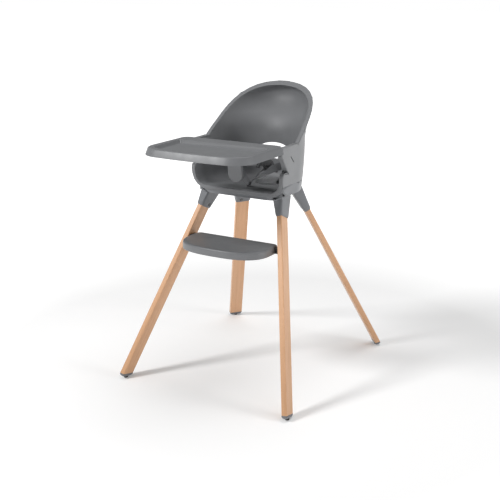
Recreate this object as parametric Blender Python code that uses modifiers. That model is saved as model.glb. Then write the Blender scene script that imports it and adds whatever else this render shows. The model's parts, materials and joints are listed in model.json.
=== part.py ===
"""Baby high chair with a hooded seat shell, a slide-in tray, a footrest and four beech legs.

The seat faces -Y, +Z is up, and the origin is on the floor under the middle of the chair.
Every sub-part is one object. Pieces that move have their origin on their joint's axis.
"""
import math

import bmesh
import bpy
from mathutils import Matrix, Vector

# Overall sizes (metres)
SEAT_LEVEL = 0.605          # top of the seat floor at its front lip
SHELL_HALF_WIDTH = 0.1640   # outside of the side walls at the armrests
HOOD_RISE = 0.3048          # seat level to the crown that the hood's dome would close at
FRONT_FEET = (0.2897, -0.3286)      # middle of the wood's lower end
REAR_FEET = (0.2841, 0.3286)
FOOT_HEIGHT = 0.0145        # floor to the wood's lower end
FRAME_SHIFT_Y = 0.0199      # puts the origin under the middle of the whole chair

# Clearances
GAP = 0.0003                # between pieces that rest against each other
HOLE_PLAY = 0.0003          # between a screw or a leg and its hole

# Shell walls
WALL = 0.0130               # inner face to outer face of the double wall
INNER_SKIN = 0.0035
OUTER_SKIN = 0.0030
FLANGE = 0.0040             # thickness of the rims that close the double wall

# Plan shape of the shell: straight sides and a round back that leans at the top
SHELL_CENTRE_Y = -0.039     # centre of the round back
SHELL_FLARE = 0.38          # how fast the sides close in below the armrests, per metre
LEAN_START = 0.1713         # above seat level, where the back begins to lean
LEAN_BLEND = 0.010
LEAN = 1.0                  # metres back for each metre up
DOME_START = 0.1805         # above seat level, where the hood begins to close
DOME_POWER = 2.7
SHELL_FRONT_Y = -0.230      # front end of the lofts, in front of every rim
BACK_SEGMENTS = 40

# Side view of the shell
ARM_RISE = 0.142            # seat level to the top of the armrests
ARM_FRONT_Y = -0.141
ARM_LOW_FRONT = (-0.146, 0.115)     # y, and height above seat level, under the armrest's nose
NOTCH_CORNER_Y = -0.103     # inner corner of the notch below each armrest
TUB_SIDE_RISE = 0.064       # seat level to the top of the tub's front side walls
TUB_FRONT_Y = -0.1325       # front of the tub at the top of its side walls
TUB_FRONT_SLOPE = 0.08
TUB_SIDE_CORNER = 0.014     # radius of the side walls' top front corners
NOTCH_SLIT = (0.026, 0.0018)        # slit that runs on behind the notch, length and width
RIM_START_Y = -0.044        # where the hood's rim leaves the armrests
RIM_SLOPE = 1.355
SPLIT_RISE = 0.100          # seat level to the joint between tub and backrest
SPLIT_Y = -0.015
COVER_RISE = 0.168          # seat level to the joint between outer shell and backrest cover

# Seat floor
FLOOR_FALL = 0.06           # drop for each metre towards the back
FLOOR_FILLET = 0.032
TUB_CORNER = 0.046          # radius of the tub's lower corners in front view
TUB_LIP = 0.0125            # height of the lip under the front of the floor

# Rear opening and harness slots
OPENING_HALF = (0.062, 0.027)
OPENING_RISE = 0.080
SLOT_SIZE = (0.029, 0.0035)
SLOT_CENTRE = (-0.0778, 0.099)      # y, and height above seat level
SLOT_TILT = math.radians(45)

# Leg base
SEAM_RISE = 0.0215          # seat level to the top of the leg base
BASE_DROP = 0.024           # seat level to the underside of the leg base
BASE_EDGE_RISE = 0.012      # underside to the lower edge of the base's sides
BASE_EDGE_INSET = 0.024     # how far the underside lies inside the sides
BASE_WALL = 0.0035
BASE_PLATE = 0.004

# Legs
LEG_SECTION = (0.0445, 0.0175)      # width and thickness
LEG_ROUND = 0.0030
FRONT_SOCKET_END = (0.1415, -0.0977, -0.078)    # x, y, and height from seat level
REAR_SOCKET_END = (0.1190, 0.1042, -0.096)
LEG_TOP_DROP = 0.038        # middle of a leg's upper end below seat level
SOCKET_WALL = 0.0028
SOCKET_GROWTH = 0.008       # how much further the socket's walls stand out at its root
SOCKET_ROUND = 0.0065
BOLT_FROM_END = 0.014       # bolt axis to the socket's lower end
BOLT_OFFSET = 0.007         # bolt axis towards the chair's middle along the leg's width
BOLT_RADIUS = 0.003
BOLT_HEAD = (0.0055, 0.0022)
INSERT = (0.0050, 0.012)
PAD = (0.0065, 0.0036)      # radius and height

# Footrest
FOOTREST_TOP = 0.451
FOOTREST_SKIRT = 0.023
FOOTREST_HALF_WIDTH = 0.1455
FOOTREST_FRONT_Y = -0.268
FOOTREST_REAR_Y = -0.120
FOOTREST_SIDE_FRONT_Y = -0.172      # where its sides begin to curve into its front
FOOTREST_POWER = 2.7        # squareness of its front
FOOTREST_REAR_CORNER = 0.018
FOOTREST_WALL = 0.0035
FOOTREST_EDGE = 0.006
BRACKET = (0.026, 0.017)    # depth and height of the blocks between footrest and legs
BRACKET_BOLT = 0.0025
BRACKET_BOLT_SHIFT = -0.006  # bolt axis in front of the leg's middle

# Tray
TRAY_TOP_RISE = 0.150
TRAY_HEIGHT = 0.0215
TRAY_HALF_WIDTH = 0.1808
TRAY_FRONT_Y = -0.3900
TRAY_BOW = 0.0075           # how far its front edge bows
TRAY_REAR_Y = -0.1365
TRAY_FRONT_CORNER = 0.067
TRAY_REAR_CORNER = 0.034
TRAY_DRAFT = 0.0105         # how far the skirt leans in at the top
TRAY_WALL = 0.003
TRAY_RIM = 0.015            # width of the flat rim at the sides and front
TRAY_DISH = 0.011           # depth of the dish
TRAY_REAR_BAND = 0.036      # extra width of the rim at the back
TRAY_CORNER_STEPS = 9
ARM_RELIEF = 0.0008         # play between the armrests' ends and the recesses in the tray's skirt

# Tray prongs and release
PRONG_HEIGHT = 0.0075
PRONG_LENGTH = 0.078        # behind the tray's back edge
PRONG_THICKNESS = 0.005
LEVER_HEIGHT = 0.0035
LEVER_REAR_Y = -0.124
LATCH = (0.0045, 0.008, 0.0045)
LATCH_Y = -0.112
LATCH_PLAY = 0.0006         # between a drawn-in latch and the inner skin beside it

# Crotch post
POST_WIDTH = 0.048
POST_THICKNESS = 0.012
POST_BOTTOM_RISE = 0.023
POST_TOP_Y = -0.1434
POST_BOTTOM_Y = -0.128

# Harness
WEBBING = (0.025, 0.0016)
BUCKLE_CENTRE = (0.066, -0.050, 0.068)      # height above seat level
BUCKLE_FACING = (0.22, -0.72, 0.66)
BUCKLE_RADIUS = 0.0175
BUCKLE_THICKNESS = 0.012
BUTTON_RADIUS = 0.009
BUTTON_TRAVEL = 0.003
TONGUE_LENGTH = 0.026
TONGUE_TRAVEL = 0.014
ADJUSTER = (0.034, 0.016, 0.006)
STRAP_END_GAP = 0.0065      # between a waist strap's end and its slot
PAD_ENDS = ((0.044, -0.066, 0.016), (0.124, -0.078, 0.034))      # heights above seat level
PAD_HALF = (0.020, 0.0115)          # across, and through its thickness

ARM_TOP = SEAT_LEVEL + ARM_RISE
SEAM_Z = SEAT_LEVEL + SEAM_RISE
BASE_BOTTOM = SEAT_LEVEL - BASE_DROP
DOME_TOP = SEAT_LEVEL + HOOD_RISE
CAP_UNDERSIDE = ARM_TOP - FLANGE
TRAY_TOP = SEAT_LEVEL + TRAY_TOP_RISE
TRAY_BOTTOM = TRAY_TOP - TRAY_HEIGHT
FAR = 0.5

CORNERS = {
    "front_left": (-1, FRONT_SOCKET_END, FRONT_FEET, (1.0, 0.0)),
    "front_right": (1, FRONT_SOCKET_END, FRONT_FEET, (1.0, 0.0)),
    "rear_left": (-1, REAR_SOCKET_END, REAR_FEET, (1.0, 1.0)),
    "rear_right": (1, REAR_SOCKET_END, REAR_FEET, (1.0, 1.0)),
}

for old in list(bpy.data.objects):
    bpy.data.objects.remove(old, do_unlink=True)

parts = bpy.data.collections.new("baby_high_chair")
cutters = bpy.data.collections.new("cutters")
bpy.context.scene.collection.children.link(parts)
bpy.context.scene.collection.children.link(cutters)

frame_origin = bpy.data.objects.new("frame_origin", None)
frame_origin.location = (0, FRAME_SHIFT_Y, 0)
parts.objects.link(frame_origin)


# ---------------------------------------------------------------- helpers

def material(name, color, roughness, metallic=0.0):
    """A Principled material, made once for each name."""
    found = bpy.data.materials.get(name)
    if found:
        return found
    made = bpy.data.materials.new(name)
    made.use_nodes = True
    shader = made.node_tree.nodes["Principled BSDF"]
    shader.inputs["Base Color"].default_value = (*color, 1)
    shader.inputs["Roughness"].default_value = roughness
    shader.inputs["Metallic"].default_value = metallic
    made.diffuse_color = (*color, 1)
    return made


def grey_plastic():
    return material("grey_plastic", (0.22, 0.225, 0.235), 0.45)


def dark_plastic():
    return material("dark_plastic", (0.045, 0.047, 0.05), 0.5)


def beech():
    return material("beech", (0.62, 0.40, 0.24), 0.5)


def steel():
    return material("steel", (0.62, 0.62, 0.63), 0.32, 1.0)


def brass():
    return material("brass", (0.72, 0.55, 0.27), 0.35, 1.0)


def rubber():
    return material("rubber", (0.06, 0.06, 0.062), 0.85)


def webbing():
    return material("webbing", (0.10, 0.10, 0.105), 0.9)


def pad_fabric():
    return material("pad_fabric", (0.16, 0.16, 0.17), 0.9)


def object_from(bm, name, collection):
    """Turns a bmesh into an object with its faces pointing out."""
    bmesh.ops.recalc_face_normals(bm, faces=bm.faces)
    mesh = bpy.data.meshes.new(name)
    bm.to_mesh(mesh)
    bm.free()
    made = bpy.data.objects.new(name, mesh)
    collection.objects.link(made)
    made.parent = frame_origin
    return made


def part(bm, name, finish):
    """A sub-part with its material, shaded smooth between its sharp edges."""
    made = object_from(bm, name, parts)
    made.data.materials.append(finish)
    made.data.shade_smooth()
    made.data.set_sharp_from_angle(angle=math.radians(35))
    return made


def cutter(bm, name):
    """A guide solid for Boolean modifiers, left out of the finished object."""
    made = object_from(bm, "cut_" + name, cutters)
    made.hide_render = True
    made.display_type = "WIRE"
    return made


def boolean(target, tool, operation="DIFFERENCE"):
    """Adds an exact Boolean modifier."""
    step = target.modifiers.new(operation.lower(), "BOOLEAN")
    step.object = tool
    step.operation = operation
    step.solver = "EXACT"
    return step


def boolean_all(target, tools, operation="DIFFERENCE"):
    """Adds one exact Boolean modifier for several guide solids."""
    group = bpy.data.collections.new(f"{target.name}_{operation.lower()}")
    cutters.children.link(group)
    for tool in tools:
        group.objects.link(tool)
    step = target.modifiers.new(operation.lower(), "BOOLEAN")
    step.operand_type = "COLLECTION"
    step.collection = group
    step.operation = operation
    step.solver = "EXACT"


def bevel(target, width, segments=2, angle=30):
    """Rounds the edges sharper than an angle."""
    step = target.modifiers.new("rounded_edges", "BEVEL")
    step.width = width
    step.segments = segments
    step.limit_method = "ANGLE"
    step.angle_limit = math.radians(angle)
    return step


def box_mesh(size, centre=(0, 0, 0), turn=None):
    """A box of a size about a centre, turned by a matrix about that centre."""
    bm = bmesh.new()
    bmesh.ops.create_cube(bm, size=1)
    bmesh.ops.scale(bm, vec=size, verts=bm.verts)
    place = Matrix.Translation(centre)
    if turn is not None:
        place = place @ turn.to_4x4()
    bmesh.ops.transform(bm, matrix=place, verts=bm.verts)
    return bm


def rod_mesh(radius, start, end, sides=24, end_radius=None):
    """A cylinder, or a cone, from one point to another."""
    start = Vector(start)
    end = Vector(end)
    along = end - start
    bm = bmesh.new()
    bmesh.ops.create_cone(
        bm, cap_ends=True, segments=sides, radius1=radius,
        radius2=radius if end_radius is None else end_radius, depth=along.length)
    turn = along.to_track_quat("Z", "Y").to_matrix().to_4x4()
    bmesh.ops.transform(bm, matrix=Matrix.Translation((start + end) / 2) @ turn, verts=bm.verts)
    return bm


def join_meshes(*pieces):
    """Puts several bmeshes into the first one."""
    first = pieces[0]
    for piece in pieces[1:]:
        mesh = bpy.data.meshes.new("joined")
        piece.to_mesh(mesh)
        piece.free()
        first.from_mesh(mesh)
        bpy.data.meshes.remove(mesh)
    return first


def loft(rings):
    """A closed solid through rings with equal numbers of points."""
    bm = bmesh.new()
    rows = [[bm.verts.new(point) for point in ring] for ring in rings]
    count = len(rows[0])
    for low, high in zip(rows, rows[1:]):
        for i in range(count):
            j = (i + 1) % count
            bm.faces.new((low[i], low[j], high[j], high[i]))
    bm.faces.new(rows[0])
    bm.faces.new(rows[-1])
    return bm


def prism_x(outline, half_width=FAR):
    """A side-view outline of (y, z) points, extruded across the chair."""
    return loft([
        [(-half_width, y, z) for y, z in outline],
        [(half_width, y, z) for y, z in outline],
    ])


def moved_line(points, distance):
    """An open line of (y, z) points, moved to its right by a distance."""
    shifted = []
    for (y0, z0), (y1, z1) in zip(points, points[1:]):
        length = math.hypot(y1 - y0, z1 - z0)
        side = Vector(((z1 - z0) / length, -(y1 - y0) / length)) * distance
        shifted.append((Vector((y0, z0)) + side, Vector((y1, z1)) + side))
    moved = [shifted[0][0]]
    for (a, b), (c, d) in zip(shifted, shifted[1:]):
        first = b - a
        second = d - c
        cross = first.x * second.y - first.y * second.x
        share = ((c.x - a.x) * second.y - (c.y - a.y) * second.x) / cross
        moved.append(a + first * share)
    moved.append(shifted[-1][1])
    return [tuple(point) for point in moved]


def signed_power(value, power):
    return math.copysign(abs(value) ** power, value)


def rounded_outline(half_width, front_y, rear_y, front_radius, rear_radius, steps=9):
    """Points around a plan outline with round corners, counter-clockwise from the right rear."""
    corners = (
        (half_width - rear_radius, rear_y - rear_radius, rear_radius, 0),
        (-half_width + rear_radius, rear_y - rear_radius, rear_radius, 90),
        (-half_width + front_radius, front_y + front_radius, front_radius, 180),
        (half_width - front_radius, front_y + front_radius, front_radius, 270),
    )
    points = []
    for x, y, radius, first in corners:
        for i in range(steps):
            angle = math.radians(first + 90 * i / (steps - 1))
            points.append((x + radius * math.cos(angle), y + radius * math.sin(angle)))
    return points


# ---------------------------------------------------------------- shell surfaces

def shell_radius(z, inset=0.0):
    """Half width of the shell at a height, and radius of its round back."""
    side = SHELL_HALF_WIDTH - inset
    start = SEAT_LEVEL + DOME_START
    if z <= start:
        return side - SHELL_FLARE * max(0.0, ARM_TOP - z) ** 2
    rise = (z - start) / (DOME_TOP - inset - start)
    return side * (1 - rise ** DOME_POWER) ** (1 / DOME_POWER)


def shell_centre(z):
    """Where the round back is centred at a height."""
    over = z - SEAT_LEVEL - LEAN_START
    return SHELL_CENTRE_Y + LEAN * (over + math.hypot(over, LEAN_BLEND)) / 2


def floor_z(y):
    """Height of the seat floor's top."""
    return SEAT_LEVEL - FLOOR_FALL * (y - TUB_FRONT_Y)


def shell_ring(z, inset, narrower=0.0, base=None):
    """One D-shaped section. With a base height it follows the slope of the floor."""
    radius = shell_radius(z, inset) - narrower
    centre = shell_centre(z)
    middle = (SHELL_FRONT_Y + centre) / 2
    points = [(-radius, SHELL_FRONT_Y), (-radius, middle)]
    for i in range(BACK_SEGMENTS + 1):
        angle = math.pi * (1 - i / BACK_SEGMENTS)
        points.append((radius * math.cos(angle), centre + radius * math.sin(angle)))
    points += [(radius, middle), (radius, SHELL_FRONT_Y)]
    if base is None:
        return [(x, y, z) for x, y in points]
    return [(x, y, z - SEAT_LEVEL + floor_z(y)) for x, y in points]


def levels(low, high, count):
    return [low + (high - low) * i / (count - 1) for i in range(count)]


def dome_levels(inset):
    """Heights through the hood, closer together towards the crown."""
    start = SEAT_LEVEL + DOME_START
    top = DOME_TOP - inset
    return [start + (top - start) * math.sin(math.radians(a)) for a in (10, 20, 30, 39, 48, 56, 63, 70, 76, 81, 85)]


def shell_solid(inset, bottom, corner=0.0, top=None):
    """The shell's solid inside a surface, with a sloped and rounded bottom if it has a corner."""
    rings = []
    if corner:
        for i in range(5):
            angle = math.radians(90 * i / 4)
            z = bottom + corner * (1 - math.cos(angle))
            rings.append(shell_ring(z, inset, corner * (1 - math.sin(angle)), base=bottom))
        start = bottom + corner
        rings += [shell_ring(z, inset) for z in levels(start + 0.02, ARM_TOP + 0.01, 6)]
    else:
        rings += [shell_ring(z, inset) for z in levels(bottom, ARM_TOP + 0.01, 7)]
    if top is None:
        rings += [shell_ring(z, inset) for z in [SEAT_LEVEL + DOME_START] + dome_levels(inset)]
    return loft(rings)


def tub_front_y(rise):
    return TUB_FRONT_Y + TUB_FRONT_SLOPE * (TUB_SIDE_RISE - rise)


def side_edge():
    """The shell's front edge in side view, from under the tub's lip to the armrest's top."""
    front = tub_front_y(TUB_SIDE_RISE)
    top = SEAT_LEVEL + TUB_SIDE_RISE
    radius = TUB_SIDE_CORNER
    corner = []
    for i in range(4):
        angle = math.radians(30 * i)
        corner.append((front + radius * (1 - math.cos(angle)), top - radius * (1 - math.sin(angle))))
    return [(tub_front_y(-0.05), SEAT_LEVEL - 0.05)] + corner + [
        (NOTCH_CORNER_Y, top),
        (ARM_LOW_FRONT[0], SEAT_LEVEL + ARM_LOW_FRONT[1]),
        (ARM_FRONT_Y, ARM_TOP),
    ]


def rim_y(z):
    """The hood rim's plane in side view."""
    return RIM_START_Y + RIM_SLOPE * (z - ARM_TOP)


def rim_foot_y():
    """Where the hood's rim ends behind itself, at the underside of the armrest caps."""
    return rim_y(CAP_UNDERSIDE) + (FLANGE + 2 * GAP) * math.hypot(1, RIM_SLOPE)


def rim_line(distance, low, high):
    """The rim's plane moved behind itself by a distance, between two heights."""
    back = distance * math.hypot(1, RIM_SLOPE)
    return [(rim_y(low) + back, low), (rim_y(high) + back, high)]


# ---------------------------------------------------------------- seat shell

def make_seat_tub():
    """Inner skin of the seat: floor, sides and low back, with the rims that close the wall."""
    tub = part(shell_solid(0, SEAT_LEVEL - TUB_LIP, TUB_CORNER), "seat_tub", grey_plastic())
    split = SEAT_LEVEL + SPLIT_RISE
    top = CAP_UNDERSIDE - GAP
    edge = side_edge()
    edge[-1] = (ARM_FRONT_Y, top)
    outline = edge + [(rim_foot_y(), top), (SPLIT_Y, split), (FAR, split), (FAR, SEAT_LEVEL - 0.05)]
    boolean(tub, cutter(prism_x(outline), "tub_profile"), "INTERSECT")
    inside = cutter(shell_solid(WALL, SEAT_LEVEL, FLOOR_FILLET), "seat_inside")
    boolean(tub, inside)
    pocket_edge = moved_line(side_edge(), FLANGE)
    pocket_outline = pocket_edge + [(pocket_edge[-1][0], ARM_TOP + 0.02), (FAR, ARM_TOP + 0.02),
                                    (FAR, SEAT_LEVEL - 0.06), (pocket_edge[0][0], SEAT_LEVEL - 0.06)]
    pocket = cutter(prism_x(pocket_outline), "wall_pocket")
    skin = cutter(shell_solid(WALL - INNER_SKIN, SEAT_LEVEL - INNER_SKIN, FLOOR_FILLET), "seat_skin")
    boolean(pocket, skin)
    boolean(tub, pocket)
    boolean(tub, cutter(boss_mesh(BOSS_RADIUS), "seat_bosses"), "UNION")
    boolean(tub, cutter(boss_holes_mesh(), "seat_boss_holes"))
    return tub


BOSS_RADIUS = 0.0065
SCREW_RADIUS = 0.002
SEAT_SCREWS = ((-0.085, -0.085), (0.085, -0.085), (-0.060, 0.055), (0.060, 0.055))


def boss_mesh(radius):
    """Round bosses from the leg base's plate up into the seat floor."""
    low = BASE_BOTTOM + BASE_PLATE + GAP
    return join_meshes(*[
        rod_mesh(radius, (x, y, low), (x, y, floor_z(y) - 0.0012)) for x, y in SEAT_SCREWS])


def boss_holes_mesh():
    low = BASE_BOTTOM
    radius = SCREW_RADIUS + HOLE_PLAY
    return join_meshes(*[
        rod_mesh(radius, (x, y, low), (x, y, floor_z(y) - 0.0028), 16) for x, y in SEAT_SCREWS])


def make_outer_shell():
    """Outer skin of the seat's sides and back, with the armrests' top caps."""
    low = SEAM_Z
    shell = part(shell_solid(0, low - 0.02), "outer_shell", grey_plastic())
    edge = moved_line(side_edge(), FLANGE + GAP)
    front = [(tub_front_y(SEAM_RISE) + FLANGE + GAP, low)] + edge[1:-1]
    front += [(edge[-1][0], CAP_UNDERSIDE), (ARM_FRONT_Y, CAP_UNDERSIDE), (ARM_FRONT_Y, ARM_TOP)]
    cover_joint = SEAT_LEVEL + COVER_RISE
    rim = rim_line(FLANGE + GAP, ARM_TOP - 0.004, cover_joint)
    arm_end = rim_line(-GAP, ARM_TOP, cover_joint)[0]
    under_rim = (rim_line(FLANGE + GAP, CAP_UNDERSIDE, ARM_TOP)[0][0], CAP_UNDERSIDE)
    outline = front + [arm_end, (arm_end[0] - RIM_SLOPE * FLANGE, CAP_UNDERSIDE), under_rim]
    outline += [rim[1], (FAR, cover_joint), (FAR, low)]
    boolean(shell, cutter(prism_x(outline), "outer_profile"), "INTERSECT")
    boolean(shell, cutter(shell_solid(WALL, low - 0.03), "arm_inside"))
    hollow = cutter(shell_solid(OUTER_SKIN, low - 0.025), "outer_hollow")
    keep = cutter(box_mesh((FAR, 0.2, 0.2), (0, arm_end[0] - 0.1 - 0.003, CAP_UNDERSIDE + 0.1)), "arm_cap_zone")
    boolean(hollow, keep)
    boolean(shell, hollow)
    return shell


def make_backrest():
    """Inner skin of the hood, with its broad rim."""
    back = part(shell_solid(0, SEAT_LEVEL + 0.05), "backrest", grey_plastic())
    split = SEAT_LEVEL + SPLIT_RISE + GAP
    rim_low = CAP_UNDERSIDE + GAP
    line = rim_line(0, rim_low, DOME_TOP + 0.02)
    outline = line + [(FAR, DOME_TOP + 0.02), (FAR, split), (SPLIT_Y + GAP, split), (rim_foot_y(), rim_low)]
    boolean(back, cutter(prism_x(outline), "hood_profile"), "INTERSECT")
    boolean(back, cutter(shell_solid(WALL, SEAT_LEVEL + 0.04), "hood_inside"))
    behind = rim_line(FLANGE, ARM_TOP - 0.08, DOME_TOP + 0.04)
    pocket_outline = behind + [(FAR + 0.1, DOME_TOP + 0.04), (FAR + 0.1, ARM_TOP - 0.08)]
    pocket = cutter(prism_x(pocket_outline), "hood_pocket")
    boolean(pocket, cutter(shell_solid(WALL - INNER_SKIN, SEAT_LEVEL + 0.03), "hood_skin"))
    bosses = cutter(join_meshes(*cover_rods(BOSS_RADIUS, 0.002)), "cover_bosses")
    boolean(bosses, cutter(shell_solid(OUTER_SKIN + GAP, SEAT_LEVEL + 0.03), "cover_inner_face"), "INTERSECT")
    boolean(pocket, bosses)
    boolean(back, pocket)
    return back


def make_backrest_cover():
    """Outer skin of the hood."""
    cover = part(shell_solid(0, SEAT_LEVEL + 0.10), "backrest_cover", grey_plastic())
    low = SEAT_LEVEL + COVER_RISE + GAP
    line = rim_line(FLANGE + GAP, low, DOME_TOP + 0.02)
    boolean(cover, cutter(prism_x(line + [(FAR, DOME_TOP + 0.02), (FAR, low)]), "cover_profile"), "INTERSECT")
    boolean(cover, cutter(shell_solid(OUTER_SKIN, SEAT_LEVEL + 0.09), "cover_hollow"))
    return cover


COVER_SCREWS = ((-0.62, 0.195), (0.62, 0.195), (-0.42, 0.245), (0.42, 0.245))


def shell_point(angle, z, inset):
    """A point on the round back, by its angle from straight back."""
    radius = shell_radius(z, inset)
    return Vector((radius * math.sin(angle), shell_centre(z) + radius * math.cos(angle), z))


def cover_rods(radius, outside, sides=24):
    """Rods square to the round back, from outside it to well inside, one for each screw."""
    step = 0.001
    rods = []
    for angle, rise in COVER_SCREWS:
        z = SEAT_LEVEL + rise
        point = shell_point(angle, z, 0)
        around = shell_point(angle + step, z, 0) - point
        up = shell_point(angle, z + step, 0) - point
        axis = around.cross(up).normalized()
        if axis.y < 0:
            axis = -axis
        rods.append(rod_mesh(radius, point + axis * outside, point - axis * 2 * WALL, sides))
    return rods


def cover_holes():
    """Screw holes from outside the cover, blind in the backrest's inner skin."""
    holes = cutter(join_meshes(*cover_rods(SCREW_RADIUS + HOLE_PLAY, 0.004, 16)), "cover_holes")
    boolean(holes, cutter(shell_solid(WALL - 0.0012, SEAT_LEVEL + 0.02), "cover_hole_ends"))
    return holes


def make_cover_screws():
    """Pan-head screws that hold the backrest cover."""
    outside = cutter(shell_solid(-GAP, SEAT_LEVEL + 0.02), "cover_screw_seats")
    ends = cutter(shell_solid(WALL - 0.0024, SEAT_LEVEL + 0.02), "cover_shank_ends")
    heads = cover_rods(0.0042, 0.0026, 16)
    shanks = cover_rods(SCREW_RADIUS, 0.0012, 12)
    for i, (head, shank) in enumerate(zip(heads, shanks), 1):
        screw = part(head, f"cover_screw_{i}", steel())
        boolean(screw, outside)
        shank_tool = cutter(shank, f"cover_shank_{i}")
        boolean(shank_tool, ends)
        boolean(screw, shank_tool, "UNION")


def cut_rear_opening(*shells):
    """The finger opening under the backrest, through both skins."""
    bm = rod_mesh(1.0, (0, 0.02, 0), (0, 0.30, 0), 40)
    bmesh.ops.scale(bm, vec=(OPENING_HALF[0], 1, OPENING_HALF[1]), verts=bm.verts)
    bmesh.ops.translate(bm, vec=(0, 0, SEAT_LEVEL + OPENING_RISE), verts=bm.verts)
    tool = cutter(bm, "rear_opening")
    for shell in shells:
        boolean(shell, tool)


def cut_harness_slots(*shells):
    """Sloped slots for the waist straps, through both sides."""
    turn = Matrix.Rotation(-SLOT_TILT, 3, "X")
    centre = (0, SLOT_CENTRE[0], SEAT_LEVEL + SLOT_CENTRE[1])
    tool = cutter(box_mesh((FAR, SLOT_SIZE[0], SLOT_SIZE[1]), centre, turn), "harness_slots")
    for shell in shells:
        boolean(shell, tool)


def cut_notch_slits(*shells):
    """Slits that run on behind the notches under the armrests."""
    turn = Matrix.Rotation(-math.radians(43), 3, "X")
    length, width = NOTCH_SLIT
    centre = (0, NOTCH_CORNER_Y, SEAT_LEVEL + TUB_SIDE_RISE)
    tool = cutter(box_mesh((FAR, length, width), centre, turn), "notch_slits")
    for shell in shells:
        boolean(shell, tool)


def make_seat_screws():
    """Screws up through the leg base's plate into the seat's bosses."""
    for i, (x, y) in enumerate(SEAT_SCREWS, 1):
        head = rod_mesh(0.0045, (x, y, BASE_BOTTOM - 0.0030), (x, y, BASE_BOTTOM - GAP), 16)
        shank = rod_mesh(SCREW_RADIUS, (x, y, BASE_BOTTOM - 0.0010), (x, y, floor_z(y) - 0.0040), 12)
        screw = part(head, f"seat_screw_{i}", steel())
        boolean(screw, cutter(shank, f"seat_shank_{i}"), "UNION")


# ---------------------------------------------------------------- legs

def leg_frame(corner):
    """Socket end, direction down the leg, and the axes across its width and its thickness."""
    side, socket_end, feet, across = CORNERS[corner]
    end = Vector((side * socket_end[0], socket_end[1], SEAT_LEVEL + socket_end[2]))
    foot = Vector((side * feet[0], feet[1], FOOT_HEIGHT))
    down = (foot - end).normalized()
    guess = Vector((side * across[0], across[1], 0)).normalized()
    thick = (guess - down * guess.dot(down)).normalized()
    wide = down.cross(thick).normalized()
    if wide.y * end.y > 0:
        wide = -wide
    return end, foot, down, wide, thick


def reach(corner, z):
    """Distance below a socket's end at which a leg's middle is at a height."""
    end, foot, down, wide, thick = leg_frame(corner)
    return (end.z - z) / -down.z


def leg_top(corner):
    return reach(corner, SEAT_LEVEL - LEG_TOP_DROP)


def socket_top(corner):
    """Far enough up that the socket runs into the base's plate all round."""
    return reach(corner, BASE_BOTTOM + BASE_PLATE) - 0.012


def leg_block(corner, start, stop, extra_start=0.0, extra_stop=0.0):
    """A block along a leg between two distances, thicker than it all round by the extras."""
    end, foot, down, wide, thick = leg_frame(corner)
    rings = []
    for distance, extra in ((start, extra_start), (stop, extra_stop)):
        half_w = wide * (LEG_SECTION[0] / 2 + extra)
        half_t = thick * (LEG_SECTION[1] / 2 + extra)
        middle = end + down * distance
        rings.append([middle + half_w + half_t, middle - half_w + half_t,
                      middle - half_w - half_t, middle + half_w - half_t])
    return loft(rings)


def bolt_line(corner):
    """A point on a leg bolt's axis in the leg's middle, and the way the bolt's head faces."""
    end, foot, down, wide, thick = leg_frame(corner)
    middle = end - down * BOLT_FROM_END + wide * BOLT_OFFSET
    return middle, -thick


def make_legs():
    for corner in CORNERS:
        end, foot, down, wide, thick = leg_frame(corner)
        length = (foot - end).length
        leg = part(leg_block(corner, leg_top(corner), length + 0.03), "leg_" + corner, beech())
        bevel(leg, LEG_ROUND, 2)
        boolean(leg, cutter(foot_block(corner), "foot_cut_" + corner))
        middle, head = bolt_line(corner)
        hole = rod_mesh(INSERT[0] + HOLE_PLAY, middle - head * 0.03, middle + head * 0.03)
        boolean(leg, cutter(hole, "insert_hole_" + corner))
        make_leg_bolt(corner, middle, head)
        make_foot(corner)


def make_leg_bolt(corner, middle, head):
    """The threaded insert in the leg, and the bolt through the socket's inner wall."""
    radius, length = INSERT
    insert = part(rod_mesh(radius, middle - head * length / 2, middle + head * length / 2),
                  "leg_insert_" + corner, brass())
    bore = rod_mesh(BOLT_RADIUS + HOLE_PLAY, middle - head * length, middle + head * length, 20)
    boolean(insert, cutter(bore, "insert_bore_" + corner))
    face = bolt_face(corner)
    seat = middle + head * (face - BOLT_HEAD[1] - 2 * GAP)
    shank = rod_mesh(BOLT_RADIUS, middle - head * (length / 2 - 0.001), seat + head * 0.001, 20)
    bolt = part(rod_mesh(BOLT_HEAD[0], seat, seat + head * BOLT_HEAD[1]), "leg_bolt_" + corner, steel())
    boolean(bolt, cutter(shank, "bolt_shank_" + corner), "UNION")
    key = rod_mesh(0.0020, seat + head * (BOLT_HEAD[1] - 0.0012), seat + head * 0.01, 6)
    boolean(bolt, cutter(key, "bolt_key_" + corner))


def bolt_face(corner):
    """Distance from the leg's middle to the socket's outer face at the bolt."""
    share = -BOLT_FROM_END / socket_top(corner)
    return LEG_SECTION[1] / 2 + SOCKET_WALL + SOCKET_GROWTH * share


def foot_slope(corner):
    """The way the leg's end faces: halfway between along the leg and straight down."""
    down = leg_frame(corner)[2]
    return (down + Vector((0, 0, -1))).normalized()


def foot_block(corner):
    """A block that fills everything below the leg's end."""
    foot = leg_frame(corner)[1]
    slope = foot_slope(corner)
    turn = slope.to_track_quat("-Z", "Y").to_matrix()
    return box_mesh((0.2, 0.2, 0.1), foot + slope * 0.05, turn)


def foot_ring(corner, depth, width, thickness, corner_radius):
    """A rounded section of the foot cap at a depth below the leg's end, running along the leg."""
    end, foot, down, wide, thick = leg_frame(corner)
    slope = foot_slope(corner)
    centre = foot + slope * depth
    points = []
    for u, v in rounded_outline(width / 2, -thickness / 2, thickness / 2, corner_radius, corner_radius, 4):
        across = wide * u + thick * v
        points.append(centre + across - down * (across.dot(slope) / down.dot(slope)))
    return points


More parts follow.
